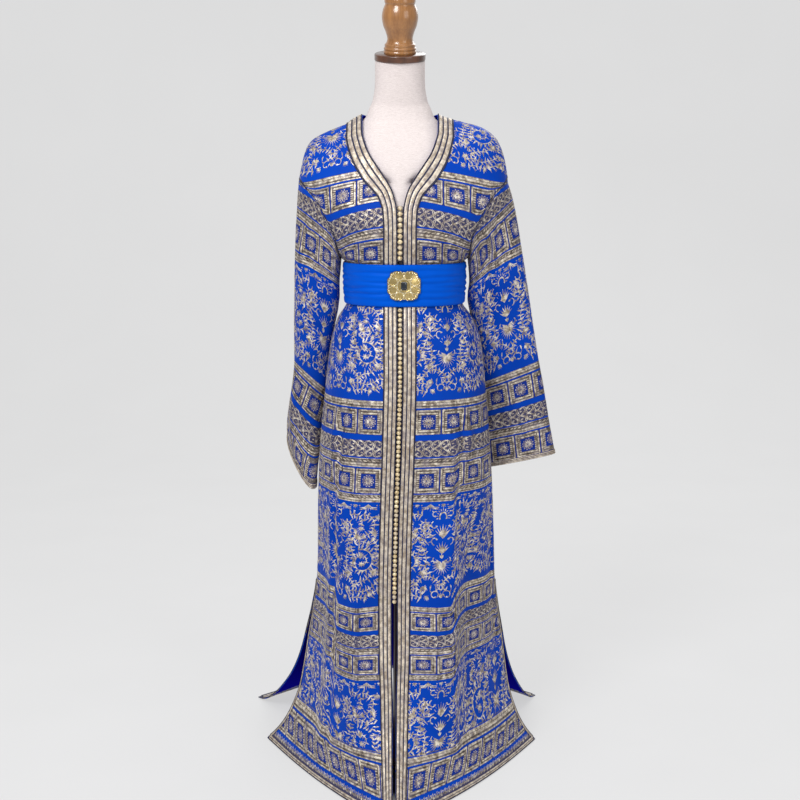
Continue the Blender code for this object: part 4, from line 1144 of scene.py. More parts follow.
def draw_repeat(figures, base, u_range, shift, squares_from):
    """One repeat of the pattern, from its first border to the foot of its flowers."""

    def placed(band):
        return (base + band[0], base + band[1])

    draw_border(figures, placed(BORDER_1), u_range, False)
    draw_squares(figures, placed(SQUARES_1), u_range, squares_from)
    draw_braid(figures, placed(GUILLOCHE), u_range)
    draw_border(figures, placed(BORDER_2), u_range, True)
    draw_squares(figures, placed(SQUARES_2), u_range, squares_from)
    draw_border(figures, placed(BORDER_3), u_range, True)
    draw_flowers(figures, u_range, base + FLOWERS[0], shift)


def draw_hem_band(figures, end, u_range, squares_from):
    """The band sewn along the hem: a border, squares and a zigzag."""
    top = end - HEM_BAND
    draw_border(figures, (top, top + 0.016), u_range, False)
    draw_squares(figures, (top + 0.019, top + 0.074), u_range, squares_from)
    band_line(figures, top + 0.0990, 0.0022, u_range)
    pitch, middle = 0.0130, top + 0.0860
    for n in tiles(u_range, pitch):
        u = n * pitch
        peak = [(u, middle + 0.0060), (u + pitch / 2, middle - 0.0060), (u + pitch, middle + 0.0060)]
        figures.stroke(peak, 0.0030)
        figures.leaf((u + pitch / 2, middle + 0.0060), -math.pi / 2, 0.0075, 0.0032)
        figures.dot((u, middle - 0.0030), 0.0038)


# Meshes


def mesh_object(name, points, faces, material):
    mesh = bpy.data.meshes.new(name)
    points = np.asarray(points, np.float32)
    faces = np.asarray(faces, np.int32)
    sides = faces.shape[1]
    mesh.vertices.add(len(points))
    mesh.vertices.foreach_set("co", points.ravel())
    mesh.loops.add(faces.size)
    mesh.loops.foreach_set("vertex_index", faces.ravel())
    mesh.polygons.add(len(faces))
    mesh.polygons.foreach_set("loop_start", np.arange(0, faces.size, sides, dtype=np.int32))
    mesh.update(calc_edges=True)
    mesh.validate()
    mesh.shade_smooth()
    mesh.materials.append(material)
    made = bpy.data.objects.new(name, mesh)
    bpy.context.scene.collection.objects.link(made)
    return made


def add_map(made, u, v, faces):
    """Keeps the flat place of each corner as the mesh's UV map."""
    layer = made.data.uv_layers.new(name="Cut")
    corners = np.asarray(faces).ravel()
    layer.data.foreach_set("uv", np.stack([u[corners], v[corners]], 1).astype(np.float32).ravel())


def shell(name, cloth, material, lining, flip, squares_from=0.0, facing=0):
    """A closed thin wall round a cloth's grid, outer face in one material and lining in another."""
    rows, columns = cloth.points.shape[:2]
    faces = grid_faces(rows, columns, cloth.wrap)
    if flip:
        faces = faces[:, ::-1]
    count = rows * columns
    outer = (cloth.points + cloth.normals * CLOTH / 2).reshape(-1, 3)
    inner = (cloth.points - cloth.normals * CLOTH / 2).reshape(-1, 3)
    index = np.arange(count).reshape(rows, columns)
    if cloth.wrap:
        loops = [np.append(index[0], index[0, 0]), np.append(index[-1], index[-1, 0])[::-1]]
    else:
        loops = [np.concatenate([index[0], index[1:, -1], index[-1, -2::-1], index[-2::-1, 0]])]
    rims = []
    for loop in loops:
        loop = loop[::-1] if flip else loop
        rims.append(np.stack([loop[:-1], loop[1:], loop[1:] + count, loop[:-1] + count], 1))
    every = np.concatenate([faces, faces[:, ::-1] + count] + rims)
    made = mesh_object(name, np.concatenate([outer, inner]), every, material)
    made.data.materials.append(lining)
    slots = np.zeros(len(every), np.int32)
    slots[len(faces) : 2 * len(faces) - facing * (columns - 1)] = 1
    made.data.polygons.foreach_set("material_index", slots)
    flat_u = cloth.u[:, :columns].ravel() - squares_from
    hem = cloth.v[-1, -1] - HEM_BAND
    flat_v = cloth.v[:, :columns].ravel()
    if not cloth.wrap:
        flat_v = np.where(flat_v > hem, flat_v - hem + 4 * REPEAT, flat_v)
    add_map(made, np.tile(flat_u, 2), np.tile(flat_v, 2), every)
    return made


def sweep(name, rings, material):
    """A skin over closed rings of points, with its ends closed."""
    rings = np.asarray(rings)
    count, sides = rings.shape[:2]
    points = np.concatenate([rings.reshape(-1, 3), rings[:1].mean(1), rings[-1:].mean(1)])
    index = np.arange(count * sides).reshape(count, sides)
    after = np.roll(index, -1, 1)
    quads = np.stack([index[:-1], after[:-1], after[1:], index[1:]], -1).reshape(-1, 4)
    bottom = np.stack([after[0], index[0], np.full(sides, count * sides)], 1)
    top = np.stack([index[-1], after[-1], np.full(sides, count * sides + 1)], 1)
    mesh = bpy.data.meshes.new(name)
    mesh.from_pydata(points.tolist(), [], quads.tolist() + bottom.tolist() + top.tolist())
    mesh.update()
    mesh.shade_smooth()
    mesh.set_sharp_from_angle(angle=math.radians(40))
    mesh.materials.append(material)
    made = bpy.data.objects.new(name, mesh)
    bpy.context.scene.collection.objects.link(made)
    return made


def keep(made, nodes):
    """Rides a piece on the object's one body and hides the solids that it stands for."""
    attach(made, "root")
    if nodes:
        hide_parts(*nodes)
    return made


# Materials


class Nodes:
    """A short way to write a material's nodes."""

    def __init__(self, name, **values):
        self.material = bpy.data.materials.new(name)
        self.material.use_nodes = True
        self.tree = self.material.node_tree
        self.shader = self.tree.nodes["Principled BSDF"]
        for key, value in values.items():
            socket = self.shader.inputs[key.replace("_", " ")]
            socket.default_value = (*value, 1) if isinstance(value, tuple) else value

    def add(self, kind, inputs=None, **settings):
        node = self.tree.nodes.new(kind)
        for key, value in settings.items():
            setattr(node, key, value)
        for key, value in (inputs or {}).items():
            if isinstance(value, bpy.types.NodeSocket):
                self.tree.links.new(value, node.inputs[key])
            else:
                node.inputs[key].default_value = value
        return node

    def math(self, operation, first, second=0.0):
        return self.add("ShaderNodeMath", {0: first, 1: second}, operation=operation).outputs[0]

    def times(self, first, second):
        return self.math("MULTIPLY", first, second)

    def plus(self, first, second):
        return self.math("ADD", first, second)

    def most(self, first, second):
        return self.math("MAXIMUM", first, second)

    def place(self, scale=(1, 1, 1), flat=None):
        """Where a point is, on the object or in the named map of the flat cut."""
        if flat:
            source = self.add("ShaderNodeUVMap", uv_map=flat).outputs[0]
        else:
            source = self.add("ShaderNodeTexCoord").outputs["Object"]
        return self.add("ShaderNodeMapping", {0: source, 3: scale}).outputs[0]

    def noise(self, place, scale, detail=2.0, rough=0.5):
        inputs = {"Vector": place, "Scale": scale, "Detail": detail, "Roughness": rough}
        return self.add("ShaderNodeTexNoise", inputs).outputs["Fac"]

    def ramp(self, value, *stops):
        node = self.add("ShaderNodeValToRGB", {0: value})
        bar = node.color_ramp.elements
        while len(bar) < len(stops):
            bar.new(0.5)
        for element, (at, colour) in zip(bar, stops):
            element.position = at
            element.color = (*colour, 1) if isinstance(colour, tuple) else (colour, colour, colour, 1)
        return node.outputs[0]

    def blend(self, share, first, second):
        node = self.add("ShaderNodeMix", data_type="RGBA")
        for key, value in ((0, share), (6, first), (7, second)):
            if isinstance(value, bpy.types.NodeSocket):
                self.tree.links.new(value, node.inputs[key])
            elif isinstance(value, tuple):
                node.inputs[key].default_value = (*value, 1)
            else:
                node.inputs[key].default_value = value
        return node.outputs[2]

    def bump(self, height, strength, distance):
        node = self.add("ShaderNodeBump", {"Height": height, "Strength": strength, "Distance": distance})
        self.link(node.outputs[0], "Normal")

    def link(self, socket, name):
        self.tree.links.new(socket, self.shader.inputs[name])


def inside(m, value, low, high):
    """1 where a value lies between two bounds."""
    return m.times(m.math("GREATER_THAN", value, low), m.math("LESS_THAN", value, high))


def thread_tones(m, light, dark, painted_highlight, scale=1.0):
    """Uneven lengths of metal thread: colour from its dark and light tones up to a painted highlight
    where the fine glint noise is high, with broader patches and a lilac tint; the same noise sets their
    shine.
    """
    glint = m.noise(m.place(), 900.0 * scale, 2.0, 0.6)
    patch = m.noise(m.place(), 120.0 * scale, 2.0, 0.6)
    tone = m.plus(m.times(glint, 0.35), m.times(patch, 0.65))
    # the top stop of this ramp is a painted highlight of glinting thread
    shade = m.ramp(tone, (0.36, dark), (0.48, light), (0.60, painted_highlight))
    lilac = m.ramp(m.noise(m.place(), 55.0, 2.0), (0.46, 0.0), (0.66, 0.40))
    return m.blend(lilac, shade, (0.300, 0.268, 0.300)), glint


def make_brocade():
    """Blue satin with a painted sheen on its ribs, and the metal ground of the borders, the squares'
    frames and the braid woven in, flecked with painted glints.
    """
    m = Nodes("brocade_ground", Roughness=0.50, Specular_IOR_Level=0.05)
    place = m.place(flat="Cut")
    split = m.add("ShaderNodeSeparateXYZ", {0: place})
    u, v = split.outputs[0], split.outputs[1]
    down = m.math("FLOORED_MODULO", v, REPEAT)
    along = m.math("FLOORED_MODULO", u, SQUARE_PITCH)
    side = m.math("ABSOLUTE", m.math("SUBTRACT", along, SQUARE_PITCH / 2))
    side = m.math("DIVIDE", side, SQUARE_PITCH / 2)
    metal, rosettes, rows = None, None, None
    for low, high in (SQUARES_1, SQUARES_2):
        upright = m.math("ABSOLUTE", m.math("SUBTRACT", down, (low + high) / 2))
        upright = m.math("DIVIDE", upright, (high - low) / 2)
        row = inside(m, down, low, high)
        around = m.most(side, upright)
        border = m.times(inside(m, around, 0.56, 0.955), row)
        across = m.times(side, side)
        away = m.math("SQRT", m.plus(across, m.times(upright, upright)))
        middle = m.times(m.math("LESS_THAN", away, 0.42), row)
        rows = row if rows is None else m.most(rows, row)
        metal = border if metal is None else m.most(metal, border)
        rosettes = middle if rosettes is None else m.most(rosettes, middle)
    for low, high in (BORDER_1, BORDER_2, BORDER_3):
        metal = m.most(metal, inside(m, down, low, high))
    braid = inside(m, down, GUILLOCHE[0] + 0.003, GUILLOCHE[1] - 0.003)
    ribs = m.noise(m.place(flat="Cut", scale=(1, 9, 1)), 190.0, 2.0)
    cloudy = m.noise(m.place(), 9.0, 3.0)
    blue = m.blend(cloudy, (0.000, 0.026, 0.280), (0.001, 0.058, 0.470))
    # the ribs turn a lighter blue: a painted sheen along them
    blue = m.blend(m.times(ribs, 0.22), blue, (0.002, 0.080, 0.560))
    # the metal ground runs up to a painted highlight, and the braid's dark ground is flecked lighter by
    # the glint noise: painted glints
    taupe, glint = thread_tones(m, (0.100, 0.084, 0.076), (0.030, 0.026, 0.038), (0.220, 0.185, 0.155))
    glinting_braid_ground = m.blend(glint, (0.020, 0.022, 0.075), (0.120, 0.102, 0.100))
    ground = m.blend(m.times(rows, 0.62), blue, (0.012, 0.018, 0.130))
    ground = m.blend(m.times(braid, 0.88), ground, glinting_braid_ground)
    ground = m.blend(m.times(rosettes, 0.55), ground, (0.170, 0.150, 0.220))
    ground = m.blend(metal, ground, taupe)
    m.link(ground, "Base Color")
    m.link(m.times(m.most(metal, braid), 0.25), "Metallic")
    m.bump(m.plus(ribs, m.times(glint, metal)), 0.35, 0.0005)
    return m.material


def make_thread(name, light, dark, painted_highlight, metallic, scale=1.0):
    """Metal thread on the raised figures, its colour carrying painted glints and highlights."""
    m = Nodes(name, Metallic=metallic, Roughness=0.42)
    shade, glint = thread_tones(m, light, dark, painted_highlight, scale)
    m.link(shade, "Base Color")
    m.link(m.ramp(glint, (0.3, 0.55), (0.7, 0.34)), "Roughness")
    m.bump(glint, 0.4, 0.0005)
    return m.material


def make_lining():
    m = Nodes("lining", Roughness=0.90, Specular_IOR_Level=0.0)
    fine = m.noise(m.place(), 700.0, 2.0)
    m.link(m.blend(fine, (0.003, 0.002, 0.190), (0.005, 0.003, 0.320)), "Base Color")
    m.bump(fine, 0.15, 0.0003)
    return m.material


def make_satin():
    m = Nodes("belt_satin", Roughness=0.44, Specular_IOR_Level=0.10, Specular_Tint=(0.25, 0.55, 1.0))
    fine = m.noise(m.place(scale=(1, 1, 14)), 160.0, 2.0)
    cloudy = m.noise(m.place(), 14.0, 2.0)
    m.link(m.blend(cloudy, (0.000, 0.072, 0.520), (0.000, 0.098, 0.660)), "Base Color")
    m.bump(fine, 0.10, 0.0004)
    return m.material


def make_linen():
    m = Nodes("form_linen", Roughness=0.92)
    place = m.place()
    waves = {"Vector": place, "Scale": 330.0, "Distortion": 2.0, "Detail": 2.0}
    warp, weft = (
        m.add("ShaderNodeTexWave", waves, bands_direction=way).outputs["Fac"] for way in ("X", "Z")
    )
    slub = m.noise(m.place(scale=(1, 1, 7)), 120.0, 3.0, 0.6)
    weave = m.plus(m.times(warp, 0.5), m.times(weft, 0.5))
    tone = m.plus(m.times(weave, 0.5), m.times(slub, 0.5))
    m.link(m.ramp(tone, (0.34, (0.520, 0.450, 0.430)), (0.54, (0.790, 0.715, 0.700))), "Base Color")
    m.bump(tone, 0.45, 0.0008)
    return m.material


def make_wood(name, light, dark, rough):
    m = Nodes(name, Roughness=rough, Coat_Weight=0.6, Coat_Roughness=0.12)
    grain = m.noise(m.place(scale=(1, 1, 0.10)), 60.0, 3.0)
    fibre = m.noise(m.place(scale=(1, 1, 0.06)), 420.0, 3.0)
    tone = m.plus(m.times(grain, 0.6), m.times(fibre, 0.4))
    m.link(m.ramp(tone, (0.35, dark), (0.62, light)), "Base Color")
    m.bump(fibre, 0.12, 0.0005)
    return m.material


def make_gold(name, low, high):
    m = Nodes(name, Metallic=1.0, Roughness=0.22)
    worn = m.noise(m.place(), 260.0, 2.0)
    m.link(m.ramp(worn, (0.3, low), (0.7, high)), "Base Color")
    m.link(m.ramp(worn, (0.3, 0.34), (0.7, 0.18)), "Roughness")
    return m.material


def make_stone():
    m = Nodes("buckle_stone_glass", Roughness=0.05, Coat_Weight=1.0)
    depth_tone = m.noise(m.place(), 90.0, 1.0)
    m.link(m.ramp(depth_tone, (0.35, (0.002, 0.003, 0.006)), (0.65, (0.010, 0.020, 0.035))), "Base Color")
    return m.material


def make_plain(name, colour, rough):
    m = Nodes(name, Roughness=rough)
    fine = m.noise(m.place(), 400.0, 2.0)
    darker = tuple(0.7 * c for c in colour)
    m.link(m.blend(fine, darker, colour), "Base Color")
    m.bump(fine, 0.2, 0.0004)
    return m.material


# The garment


# Light and dark tones of each metal thread, and its brightest tone, a painted highlight of its glints
SILVER = ((0.370, 0.306, 0.236), (0.110, 0.080, 0.062), (0.820, 0.745, 0.615))
BRAID_SILVER = ((0.450, 0.375, 0.290), (0.270, 0.205, 0.150), (0.740, 0.650, 0.530))
CORD_GOLD = ((0.700, 0.540, 0.300), (0.300, 0.200, 0.080), (0.930, 0.820, 0.560))

brocade = make_brocade()
lining = make_lining()
thread = make_thread("metal_thread", *SILVER, 0.30)
braid_thread = make_thread("braid_thread", *BRAID_SILVER, 0.30, 0.8)
button_thread = make_thread("button_thread", *CORD_GOLD, 0.30, 1.4)
navy = make_plain("navy_cord", (0.006, 0.008, 0.045), 0.6)
satin = make_satin()
linen = make_linen()
wood = make_wood("honey_wood", (0.370, 0.168, 0.052), (0.230, 0.094, 0.026), 0.30)
dark_wood = make_wood("dark_wood", (0.110, 0.036, 0.012), (0.050, 0.016, 0.006), 0.30)
gold = make_gold("buckle_gold", (0.93, 0.80, 0.48), (1.00, 0.94, 0.74))
# a darker gold for the plate: painted shade in the hollows between the wires
shaded_gold = make_gold("buckle_gold_painted_shade", (0.42, 0.30, 0.10), (0.72, 0.56, 0.26))
stone = make_stone()

NAMES = {-1: "left", 1: "right"}
fronts, backs = ({side: make_panel(face, side) for side in NAMES} for face in ("front", "back"))
sleeves = {side: make_sleeve(side, fronts[side], backs[side]) for side in NAMES}


def joined_back():
    """The two halves of the back as one cloth."""
    left, right = backs[-1], backs[1]
    middle = (left.points[:, :1] + right.points[:, :1]) / 2
    points = np.concatenate([left.points[:, :0:-1], middle, right.points[:, 1:]], 1)
    u = np.concatenate([-left.u[:, :0:-1], right.u], 1)
    v = np.concatenate([left.v[:, :0:-1], right.v], 1)
    return Cloth(points, -normals_of(points), u, v)


def make_cloths():
    """The panels and sleeves, each a thin wall with its lining."""
    made = {}
    for side, name in NAMES.items():
        front = shell(f"cloth_front_{name}", fronts[side], brocade, lining, side < 0, SQUARES_FROM)
        made["front", side] = keep(front, [f"front_{name}"])
        sleeve = shell(f"cloth_sleeve_{name}", sleeves[side], brocade, lining, side < 0)
        made["sleeve", side] = keep(sleeve, [f"sleeve_{name}"])
    back = shell("cloth_back", back_cloth, brocade, lining, True, 0.0, FACING_ROWS)
    made["back", 0] = keep(back, ["back"])
    return made


def weave_panel(name, cloth, reach, shift, squares_from):
    """The figures of a front or the back, with the band along its hem."""
    end = cloth.v[-1, -1]
    figures = Figures(cloth, -1.0, end - HEM_BAND)
    for n in PANEL_REPEATS:
        draw_repeat(figures, n * REPEAT, reach, shift, squares_from)
    figures.start, figures.end = end - HEM_BAND, end - 0.0060
    draw_hem_band(figures, end, reach, squares_from)
    return keep(figures.build(name, thread), [])


def make_figures():
    """The woven figures of each piece of cloth."""
    made = {}
    for side, name in NAMES.items():
        cloth = fronts[side]
        reach = (0.028, cloth.u.max())
        made["front", side] = weave_panel(
            f"figures_front_{name}", cloth, reach, UPRIGHT_FROM[side], SQUARES_FROM
        )
        cloth = sleeves[side]
        figures = Figures(cloth, -1.0, CUFF_PATTERN - 0.0105)
        for n in SLEEVE_REPEATS:
            draw_repeat(figures, n * REPEAT, (cloth.u.min(), cloth.u.max()), 0.02 * side, 0.0)
        made["sleeve", side] = keep(figures.build(f"figures_sleeve_{name}", thread), [])
    cloth = back_cloth
    low, high = cloth.u.min(), cloth.u.max()
    made["back", 0] = weave_panel("figures_back", cloth, (low, high), 0.0, 0.0)
    end = cloth.v[-1, -1]
    facing = Figures(cloth, end - 0.040, end - 0.002, face=-1)
    for start, stop in ((low, low + FACING_REACH), (high - FACING_REACH, high)):
        for top, bottom in ((0.034, 0.016), (0.014, 0.004)):
            draw_border(facing, (end - top, end - bottom), (start, stop - 0.008), True)
    made["facing", 0] = keep(facing.build("figures_facing", thread), [])
    return made


def make_seams():
    """A navy piping along each armhole of the fronts, where the sleeve is set in."""
    for side, name in NAMES.items():
        cloth = fronts[side]
        figures = Figures(cloth, -math.inf, math.inf, PIPING_HEIGHT)
        figures.stroke(cloth.line(slice(0, YOKE_ROWS + 1), -2), PIPING_WIDTH)
        keep(figures.build(f"armhole_piping_{name}", navy), [])


# The braids, each a navy strip with rounded metal stripes on it


def strip_points(cloth, low, high, lift, round_height, steps=STRIPE_STEPS):
    """Rows of points across a strip that lies between two edges, given as flat places."""
    shares = np.linspace(0, 1, steps)
    arch = np.sqrt(np.clip(1 - (2 * shares - 1) ** 2, 0, 1))
    flat = low[:, None, :] + (high - low)[:, None, :] * shares[None, :, None]
    height = np.tile(lift + arch * round_height, len(low))
    points, _ = cloth.lay(flat.reshape(-1, 2), height)
    return points.reshape(len(low), steps, 3)


class Braid:
    """A navy strip with metal stripes and piping, along a run of flat edges on a cloth."""

    def __init__(self, name, node, cloth, inner, outer, stripes, flip):
        self.points, self.faces, self.slots, self.count = [], [], [], 0
        self.add(strip_points(cloth, inner, outer, SEAM, STRIP_HEIGHT, STRIP_STEPS), flip, 0)
        for low, high, height, slot in stripes:
            edges = [mix(inner, outer, share) for share in (low, high)]
            self.add(strip_points(cloth, *edges, STRIPE_FOOT, height), flip, slot)
        points = np.concatenate(self.points)
        made = mesh_object(name, points, np.concatenate(self.faces), navy)
        made.data.materials.append(braid_thread)
        made.data.polygons.foreach_set("material_index", np.concatenate(self.slots).astype(np.int32))
        self.made = keep(made, [node])

    def add(self, grid, flip, slot):
        faces = grid_faces(*grid.shape[:2]) + self.count
        self.faces.append(faces[:, ::-1] if flip else faces)
        self.slots.append(np.full(len(faces), slot))
        self.points.append(grid.reshape(-1, 3))
        self.count += grid.shape[0] * grid.shape[1]


# Stripes of each braid: where it starts and ends across the strip, its height, and 1 where it is metal
WIDE_STRIPES = (
    (0.000, 0.060, 0.0011, 0),
    (0.085, 0.285, 0.0009, 1),
    (0.360, 0.590, 0.0009, 1),
    (0.665, 0.890, 0.0009, 1),
    (0.925, 1.000, 0.0011, 0),
)
NARROW_STRIPES = (
    (0.06, 0.42, 0.0008, 1),
    (0.50, 0.78, 0.0007, 1),
    (0.84, 1.00, 0.0010, 0),
)
CUFF_STRIPES = (
    (0.04, 0.30, 0.0008, 1),
    (0.38, 0.62, 0.0008, 1),
    (0.70, 0.94, 0.0008, 1),
)


def make_bands():
    """The striped braid down both front edges and round the back of the neck."""
    made = {}
    for side, name in NAMES.items():
        cloth = fronts[side]
        edges = [cloth.line(slice(None), column) for column in (0, FRONT_BRAID_CELLS)]
        braid = Braid(f"braid_front_{name}", f"band_{name}", cloth, *edges, WIDE_STRIPES, side < 0)
        made[side] = braid.made
    middle = backs[-1].u.shape[1] - 1
    columns = slice(middle - BACK_BRAID_CELLS, middle + BACK_BRAID_CELLS + 1)
    low = np.searchsorted(-LEVELS, -(NECK_POINT - 0.031))
    edges = [back_cloth.line(row, columns) for row in (0, low)]
    braid = Braid("braid_neck_back", "band_neck_back", back_cloth, *edges, WIDE_STRIPES, True)
    made[0] = braid.made
    return made


def make_hem_braids():
    """The narrow braid on the slits and hems, and round the cuffs."""
    made = {}
    slit = slice(np.nonzero(LEVELS < SLIT_TOP)[0][0], -2)
    for side, name in NAMES.items():
        cloth = fronts[side]
        hem = slice(-3, FRONT_BRAID_CELLS, -1)
        edges = [np.concatenate([cloth.line(slit, k), cloth.line(k, hem)]) for k in (-3, -1)]
        braid = Braid(
            f"braid_hem_{name}", f"hem_braid_{name}", cloth, *edges, NARROW_STRIPES, side < 0
        )
        made[side] = braid.made
        cloth = sleeves[side]
        outer = cloth.line(-1, slice(None))
        inner = outer - (0, CUFF_BRAID)
        braid = Braid(
            f"braid_cuff_{name}", f"cuff_braid_{name}", cloth, inner, outer, CUFF_STRIPES, side > 0
        )
        made["cuff", side] = braid.made
    cloth, edges = back_cloth, []
    for left, right in ((2, -3), (0, -1)):
        hem = cloth.line(right, slice(2, -2))
        edges.append(np.concatenate([cloth.line(slit, left), hem, cloth.line(slit, right)[::-1]]))
    braid = Braid("braid_hem_back", "hem_braid_back", cloth, *edges, NARROW_STRIPES, False)
    made[0] = braid.made
    return made


# Buttons, belt, buckle and the form


def placket_line(heights):
    edge = np.full((len(heights), 1), -1.0)
    left = panel("front", -1, edge, heights)[:, 0]
    right = panel("front", 1, edge, heights)[:, 0]
    line = (left + right) / 2
    line[:, 1] -= CLOTH / 2
    return line


def make_buttons(name, node, top, bottom, pitch, size):
    """Round knots in a row, each with the turns of its cord, between small side loops."""
    count = int((top - bottom) / pitch)
    heights = top - (np.arange(count) + 0.5) * pitch
    line = placket_line(heights)
    rings, sides = 9, 14
    polar = np.linspace(0.12, math.pi - 0.12, rings)[:, None]
    turn = np.arange(sides) * 2 * math.pi / sides
    knots, faces = [], []
    for n, centre in enumerate(line):
        radius = size * (1 + 0.07 * np.cos(3 * turn + 5 * polar + n) * np.sin(polar))
        x = radius * np.sin(polar) * np.cos(turn)
        y = radius * np.sin(polar) * np.sin(turn) * 0.92
        z = radius * np.cos(polar)
        knots.append(np.stack([x, y, z], -1).reshape(-1, 3) + centre + np.array([0, -0.0016, 0]))
        faces.append(grid_faces(rings, sides, True) + n * rings * sides)
    made = mesh_object(name, np.concatenate(knots), np.concatenate(faces)[:, ::-1], button_thread)
    keep(made, [node])
    loops, faces = [], []
    steps, corners = 6, 5
    small = np.linspace(0, math.pi, steps)
    tube = np.arange(corners) * 2 * math.pi / corners
    wire = 0.0009 * np.stack([np.cos(tube), np.sin(tube), 0 * tube], 1)
    for centre in line:
        for side in (-1, 1):
            out = side * (0.0020 + 0.0052 * np.sin(small))
            path = np.stack([out, np.full(steps, 0.0004), 0.39 * pitch * np.cos(small)], 1)
            faces.append(grid_faces(steps, corners, True) + steps * corners * len(loops))
            loops.append((centre + path[:, None, :] + wire[None]).reshape(-1, 3))
    made = mesh_object(name + "_loops", np.concatenate(loops), np.concatenate(faces), navy)
    keep(made, [])


def outline(left, right, front, back, steps, power=2.2):
    turn = np.arange(steps) * 2 * math.pi / steps
    wide = np.where(np.cos(turn) < 0, left, right)
    deep = np.where(np.sin(turn) < 0, front, back)
    x = np.sign(np.cos(turn)) * np.abs(np.cos(turn)) ** (2 / power) * wide
    y = np.sign(np.sin(turn)) * np.abs(np.sin(turn)) ** (2 / power) * deep
    return x, y


def belt_reach(share):
    reach = []
    for name in ("left", "right", "front", "back"):
        edges = [read(SECTIONS, name, height) for height in (BELT_TOP, BELT_BOTTOM)]
        reach.append(mix(*edges, share) + BELT_CLEAR + BELT_BULGE * 4 * share * (1 - share))
    return reach


def belt_front(x):
    left, right, front, _ = np.max([belt_reach(share) for share in (0, 0.5, 1)], axis=0)
    wide = np.where(x < 0, left, right) + BELT
    return (front + BELT) * (1 - np.abs(x / wide) ** 2.2) ** (1 / 2.2)


# Pleats of the sash: height as a share of the belt, depth, and how they fan out from the buckle
PLEATS = table_of(
    "share depth drift phase",
    (0.17, 0.0022, 0.030, 0.3),
    (0.30, 0.0016, -0.025, 1.9),
    (0.42, 0.0024, 0.020, 3.1),
    (0.55, 0.0020, -0.030, 4.4),
    (0.68, 0.0024, 0.035, 0.9),
    (0.82, 0.0018, -0.015, 2.6),
)


def make_belt():
    """The satin sash: a soft wall with uneven pleats, their raised edges faded beside the buckle."""
    steps, rows = 240, 44
    shares = np.linspace(0, 1, rows)
    turn = np.arange(steps) * 2 * math.pi / steps
    outer = []
    for share in shares:
        x, y = outline(*belt_reach(share), steps)
        outer.append(np.stack([x, y, np.full(steps, mix(BELT_TOP, BELT_BOTTOM, share))], 1))
    points = np.array(outer)
    normals = normals_of(points, wrap=True)
    normals[..., 2] = 0
    normals = unit(normals)
    lift = np.full((rows, steps), BELT)
    clear = np.where(y < 0, 1 - np.exp(-((x / 0.062) ** 4)), 1.0)
    for pleat in PLEATS:
        centre = pleat.share + pleat.drift * np.sin(2 * turn + pleat.phase)
        centre += 0.012 * np.sin(7 * turn + pleat.phase * 3)
        away = (shares[:, None] - centre[None, :]) / 0.045
        strength = 0.65 + 0.35 * np.sin(3 * turn + pleat.phase * 2)
        lift -= pleat.depth * strength[None, :] * np.exp(-(away**2)) * (1 + 0.6 * np.tanh(3 * away))
        edge = np.exp(-(((away + 1.3) / 0.6) ** 2))
        lift += 0.55 * pleat.depth * (strength * clear)[None, :] * edge
    rim = np.maximum(0, 1 - np.minimum(shares, 1 - shares) / 0.05)
    roll = np.sqrt(np.clip(1 - rim**2, 0, 1))
    outer_skin = points + normals * (0.0004 + (lift - 0.0004) * roll[:, None])[..., None]
    skins = np.concatenate([outer_skin, points[::-1]])
    skins = np.concatenate([skins, skins[:1]])
    faces = grid_faces(len(skins), steps, True)
    made = mesh_object("belt_sash", skins.reshape(-1, 3), faces, satin)
    return keep(made, ["belt"])


def on_belt(x, z, out):
    """Points of the buckle, given flat as x and z from its middle and out from the belt."""
    x, z, out = np.broadcast_arrays(np.asarray(x, float), z, out)
    middle = (BELT_TOP + BELT_BOTTOM) / 2 + BUCKLE_RISE
    across = x + BUCKLE_X
    return np.stack([across, -belt_front(across) - SEAM - out, z + middle], -1)


BUCKLE_SQUARENESS = 0.62
# Rings of the buckle's plate: size as a share of its outline, and how far out each lies
PLATE = table_of(
    "scale out",
    (0.04, 0.0),
    (0.97, 0.0),
    (1.0, 0.0016),
    (0.975, 0.0030),
    (0.92, 0.0030),
    (0.89, 0.0022),
    (0.60, 0.0036),
    (0.42, 0.0052),
    (0.30, 0.0054),
    (0.04, 0.0054),
)


def on_buckle(x, z, out):
    """Points of the buckle, with x and z as shares of its half width and half height."""
    return on_belt(x * BUCKLE_WIDTH / 2, z * BUCKLE_HEIGHT / 2, out)


def squared(turn):
    """Where the buckle's rounded outline lies at each turn about its middle."""
    cosine, sine = np.cos(turn), np.sin(turn)
    x = np.sign(cosine) * np.abs(cosine) ** BUCKLE_SQUARENESS * BUCKLE_WIDTH / 2
    z = np.sign(sine) * np.abs(sine) ** BUCKLE_SQUARENESS * BUCKLE_HEIGHT / 2
    return x, z


def wire(path, thick):
    """A gold wire along a path."""
    tube = np.arange(6)[:, None] * math.pi / 3
    along = unit(np.gradient(path, axis=0))
    side = unit(np.cross(along, (0, -1.0, 0)))
    up = np.cross(side, along)
    radius = np.broadcast_to(thick, len(path))[:, None, None]
    rings = path[:, None] + radius * (np.cos(tube) * side[:, None] + np.sin(tube) * up[:, None])
    return sweep("buckle_wire", rings, gold)


def bead(at, size):
    polar = np.linspace(0.15, math.pi - 0.15, 6)[:, None]
    around = np.arange(8) * math.pi / 4
    wide, tall = size * np.sin(polar), size * np.cos(polar)
    ball = np.stack([wide * np.cos(around), wide * np.sin(around), tall * np.ones(8)], -1)
    return sweep("buckle_bead", (ball + at)[::-1], gold)


